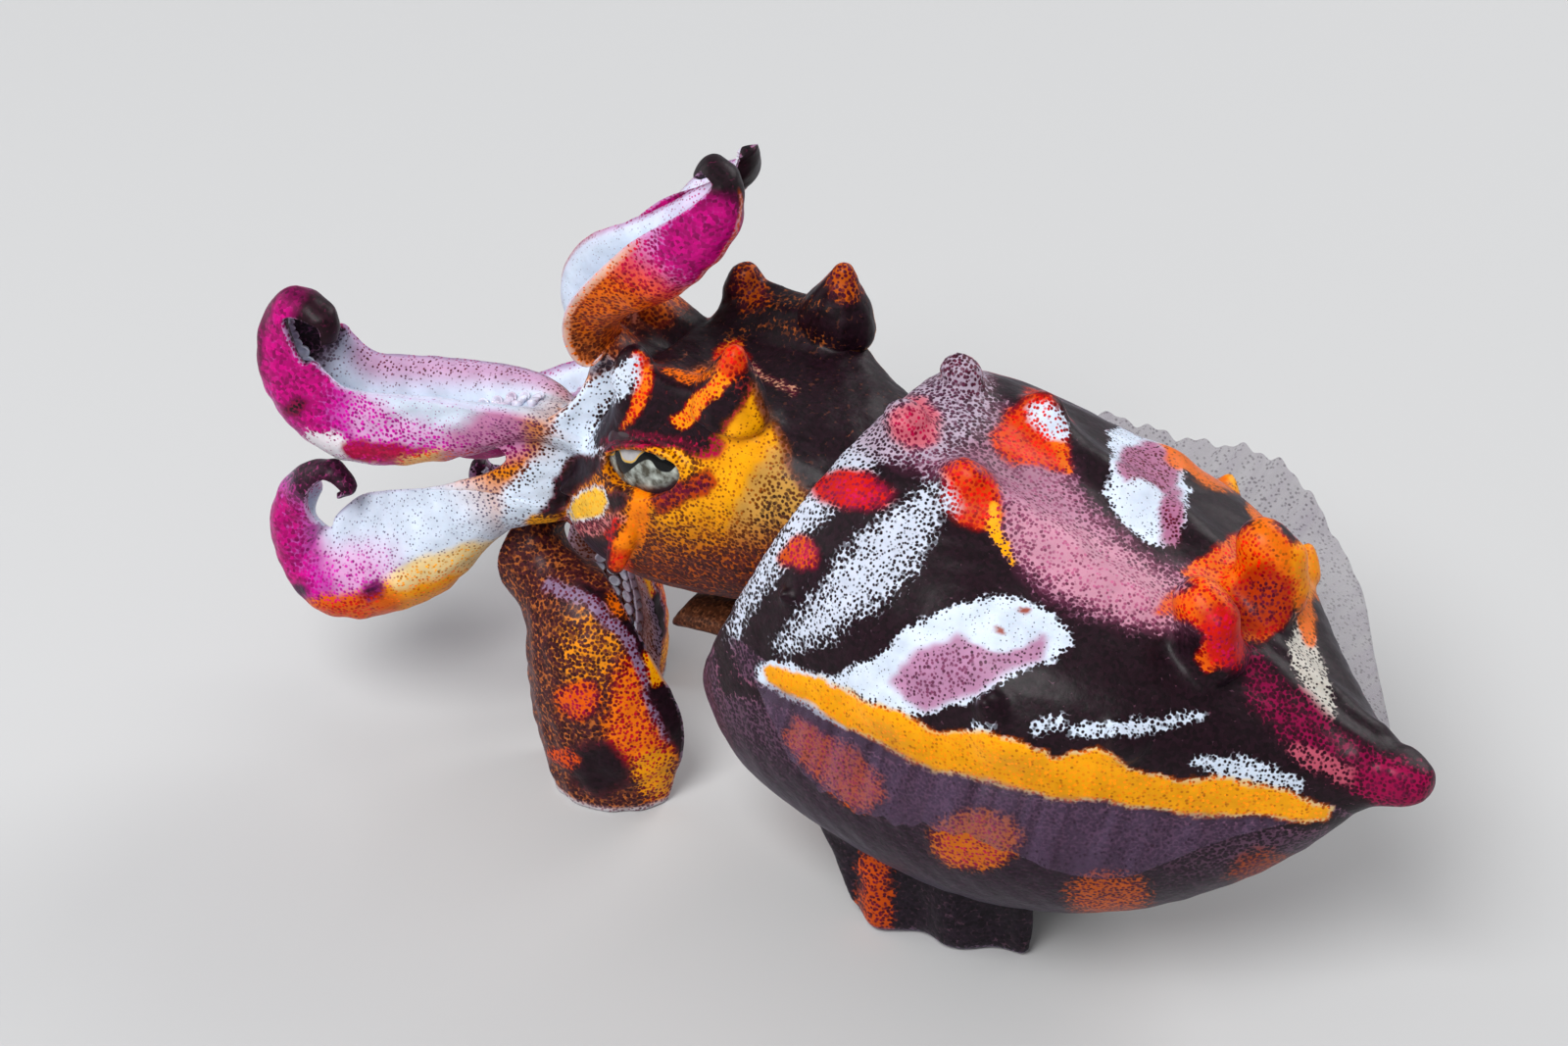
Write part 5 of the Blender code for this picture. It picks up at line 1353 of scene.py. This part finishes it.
def fin_material(name):
    """See-through mauve skin with fibres across the fin and dark cells."""
    mat, shader = new_material(name)
    add, maths, mix, kept, noise = node_tools(mat)
    link = mat.node_tree.links.new
    place = add("ShaderNodeTexCoord").outputs["Object"]
    cells = add("ShaderNodeTexVoronoi", {"Vector": place, "Scale": 1700.0, "Randomness": 0.9})
    shown = maths("MULTIPLY_ADD", maths("SUBTRACT", 0.27, cells.outputs["Distance"]), 7.0, 0.3, clamp=True)
    streaks = add("ShaderNodeMapping", {"Vector": place}, vector_type="POINT")
    streaks.inputs["Scale"].default_value = (900.0, 90.0, 90.0)
    fibres = noise(streaks.outputs["Vector"], 1.0, 3.0)
    pale = mix(maths("MULTIPLY_ADD", fibres, 2.0, -0.6, clamp=True), (0.06, 0.03, 0.06, 1.0),
               (0.13, 0.08, 0.15, 1.0))
    link(mix(shown, pale, (0.02, 0.008, 0.018, 1.0)), shader.inputs["Base Color"])
    thick = maths("MULTIPLY_ADD", fibres, 0.3, 0.1)
    seen_share = kept("shown")
    solid = maths("ADD", thick, maths("MULTIPLY", shown, 0.35), clamp=True)
    link(maths("MULTIPLY", solid, seen_share), shader.inputs["Alpha"])
    bump = add("ShaderNodeBump", {"Strength": 0.4, "Distance": 0.0002, "Height": fibres})
    link(bump.outputs["Normal"], shader.inputs["Normal"])
    set_inputs(shader, {
        "Roughness": 0.3,
        "Specular IOR Level": 0.2,
        "Sheen Weight": 0.06,
        "Sheen Tint": SHEEN_TINT,
    })
    return mat


def build_eye(side, node):
    """An eyeball with its iris and pupil in the material, drawn at places kept on its points."""
    bpy.ops.object.select_all(action="DESELECT")
    bpy.ops.mesh.primitive_uv_sphere_add(segments=128, ring_count=80, radius=EYE_RADIUS * MM)
    piece = bpy.context.object
    piece.name = f"{node}_ball"
    x, y, z = EYE_PLACE
    piece.location = to_frame((x, side * y, z))
    select_only(piece)
    bpy.ops.object.transform_apply(location=True, rotation=False, scale=False)
    points = read_points(piece)
    middle = np.array((x, side * y, z))
    ball = (points - middle) / EYE_RADIUS
    ball[:, 1] = np.sign(ball[:, 1]) * np.abs(ball[:, 1])**EYE_FULLNESS
    points = middle + ball * np.array(EYE_SIZES)
    write_points(piece, points)
    left = points * np.array((1, -side, 1))
    seen = (sight(left) - np.array(EYE_SIGHT)) / SIGHT_STEPS_MM
    write_number(piece, "iris_across", seen[:, 0])
    write_number(piece, "iris_up", -seen[:, 1])
    piece.data.shade_smooth()
    piece.data.materials.append(eye_material(f"{node}_glass"))
    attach(piece, "root")
    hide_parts(node)
    return piece


# the pupil's upper and lower edge: millimetres across and up from the middle of the eye's opening
PUPIL_TOP = ((-3.2, 0.9), (-3.0, 1.5), (-2.7, 1.2), (-2.35, 0.35), (-1.8, 0.1), (-1.36, 0.15), (-0.6, 0.95),
             (0.2, 1.3), (0.97, 0.75), (1.55, 0.45), (2.14, 0.85), (2.5, 1.9), (3.1, 2.2), (3.35, 1.2))
PUPIL_FOOT = ((-3.2, 0.9), (-3.0, 0.0), (-2.7, -0.75), (-2.35, -1.05), (-1.8, -0.8), (-1.36, -0.45),
              (-0.6, 0.1), (0.2, 0.3), (0.97, -0.55), (1.55, -0.85), (2.14, -0.85), (2.6, -0.5), (3.1, 0.3),
              (3.35, 1.2))


def eye_material(name):
    """Silvery iris with golden lines round a black W-shaped pupil."""
    mat, shader = new_material(name)
    add, maths, mix, kept, noise = node_tools(mat)
    link = mat.node_tree.links.new
    place = add("ShaderNodeTexCoord").outputs["Object"]
    across = kept("iris_across")
    up = kept("iris_up")
    share = maths("MULTIPLY_ADD", across, 0.125, 0.5, clamp=True)
    edges = []
    for edge in (PUPIL_TOP, PUPIL_FOOT):
        curve = add("ShaderNodeFloatCurve", {"Value": share})
        shape_curve(curve, ((0.0, 0.59),) + tuple((0.5 + x / 8, 0.5 + y / 10) for x,
                                                  y in edge) + ((1.0, 0.62),))
        edges.append(maths("MULTIPLY", maths("SUBTRACT", curve.outputs["Value"], 0.5), 10.0))
    top, foot = edges
    pupil = maths("MULTIPLY", maths("MINIMUM", maths("SUBTRACT", top, up), maths("SUBTRACT", up, foot)),
                  9.0, clamp=True)
    line = maths("SUBTRACT", 0.13, maths("ABSOLUTE", maths("SUBTRACT", up, maths("ADD", top, 0.08))))
    mottle = noise(place, 1100.0, 4.0)
    low = mix(maths("MULTIPLY_ADD", mottle, 3.2, -1.15, clamp=True), (0.06, 0.055, 0.04, 1.0),
              (0.42, 0.46, 0.42, 1.0))
    lobes = mix(maths("MULTIPLY_ADD", mottle, 1.5, -0.3, clamp=True), (0.3, 0.29, 0.31, 1.0),
                (0.52, 0.5, 0.48, 1.0))
    iris = mix(maths("MULTIPLY", maths("SUBTRACT", up, top), 8.0, clamp=True), low, lobes)
    around = add("ShaderNodeVectorMath", operation="LENGTH")
    pair = add("ShaderNodeCombineXYZ", {"X": maths("MULTIPLY", across, 0.62), "Y": up})
    link(pair.outputs["Vector"], around.inputs[0])
    edge_dark = maths("MULTIPLY_ADD", around.outputs["Value"], 1.6, -3.2, clamp=True)
    shaded = mix(edge_dark, iris, (0.03, 0.015, 0.02, 1.0))
    gold = mix(maths("MULTIPLY", line, 14.0, clamp=True), shaded, (0.6, 0.36, 0.06, 1.0))
    link(mix(pupil, gold, (0.002, 0.002, 0.002, 1.0)), shader.inputs["Base Color"])
    link(maths("MULTIPLY_ADD", mottle, 0.2, 0.15), shader.inputs["Roughness"])
    set_inputs(shader, {
        "Specular IOR Level": 0.1,
        "Coat Weight": 0.22,
        "Coat Roughness": 0.03,
    })
    return mat


def shape_curve(node, places):
    """Bends a float curve through places."""
    curve = node.mapping.curves[0]
    curve.points[0].location = places[0]
    curve.points[1].location = places[-1]
    for place in places[1:-1]:
        curve.points.new(*place)
    node.mapping.update()


def build_beak():
    """The beak in the middle of the arms, horn with fine growth lines."""
    piece = flesh_copy("beak", 2)
    piece.name = "beak_horn"
    piece.data.shade_smooth()
    mat, shader = new_material("horn")
    add, maths, mix, *_ = node_tools(mat)
    place = add("ShaderNodeTexCoord").outputs["Object"]
    lines = add("ShaderNodeTexWave", {"Vector": place, "Scale": 900.0, "Distortion": 3.0,
                                      "Detail": 2.0}).outputs["Fac"]
    colour = mix(lines, (0.012, 0.005, 0.003, 1.0), (0.06, 0.025, 0.012, 1.0))
    mat.node_tree.links.new(colour, shader.inputs["Base Color"])
    mat.node_tree.links.new(maths("MULTIPLY_ADD", lines, 0.15, 0.25), shader.inputs["Roughness"])
    piece.data.materials.append(mat)
    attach(piece, "root")
    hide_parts("beak")
    return piece


def build_floor():
    """A wide grey floor."""
    bpy.ops.object.select_all(action="DESELECT")
    bpy.ops.mesh.primitive_plane_add(size=6.0, location=(0.0, 0.0, 0.0))
    floor = bpy.context.object
    floor.name = "floor"
    mat, shader = new_material("floor_paper")
    set_inputs(shader, {
        "Base Color": (0.5, 0.5, 0.5, 1.0),
        "Roughness": 0.8,
    })
    floor.data.materials.append(mat)


def build_camera():
    """The photograph's view."""
    data = bpy.data.cameras.new("camera")
    data.lens = VIEW_LENS
    data.sensor_width = 36.0
    data.clip_start = 0.01
    camera = bpy.data.objects.new("camera", data)
    camera.location = to_frame(VIEW_FROM)
    camera.rotation_euler = (math.radians(90.0 - VIEW_ABOVE), 0.0, VIEW_TURN)
    bpy.context.scene.collection.objects.link(camera)
    bpy.context.scene.camera = camera


def build_lights():
    """Three soft lamps and a pale surround."""
    for name, place, size, power in (("key", (0.1, -0.6, 0.75), 0.45, 8.5),
                                     ("fill", (-0.75, -0.2, 0.4), 0.8, 2.6),
                                     ("back", (0.15, 0.75, 0.55), 0.6, 4.5)):
        data = bpy.data.lights.new(name, "AREA")
        data.shape = "DISK"
        data.size = size
        data.energy = power
        lamp = bpy.data.objects.new(name, data)
        lamp.location = place
        lamp.rotation_euler = (Vector((0, 0, 0.03)) - Vector(place)).to_track_quat("-Z", "Y").to_euler()
        bpy.context.scene.collection.objects.link(lamp)
    world = bpy.data.worlds.new("studio")
    world.use_nodes = True
    world.node_tree.nodes["Background"].inputs["Color"].default_value = (0.92, 0.95, 1.0, 1.0)
    world.node_tree.nodes["Background"].inputs["Strength"].default_value = 0.4
    bpy.context.scene.world = world
    bpy.context.scene.view_settings.view_transform = "Standard"


build_camera()
build_lights()
build_floor()
build_mantle_skin()
head_skin = build_head_skin()
arm_skin = build_arm_skin()
paint_flesh(head_skin, arm_skin)
build_suckers()
build_beak()
for fin in ("fin_left", "fin_right"):
    build_fin(fin)
build_eye(-1, "eye_left")
build_eye(1, "eye_right")
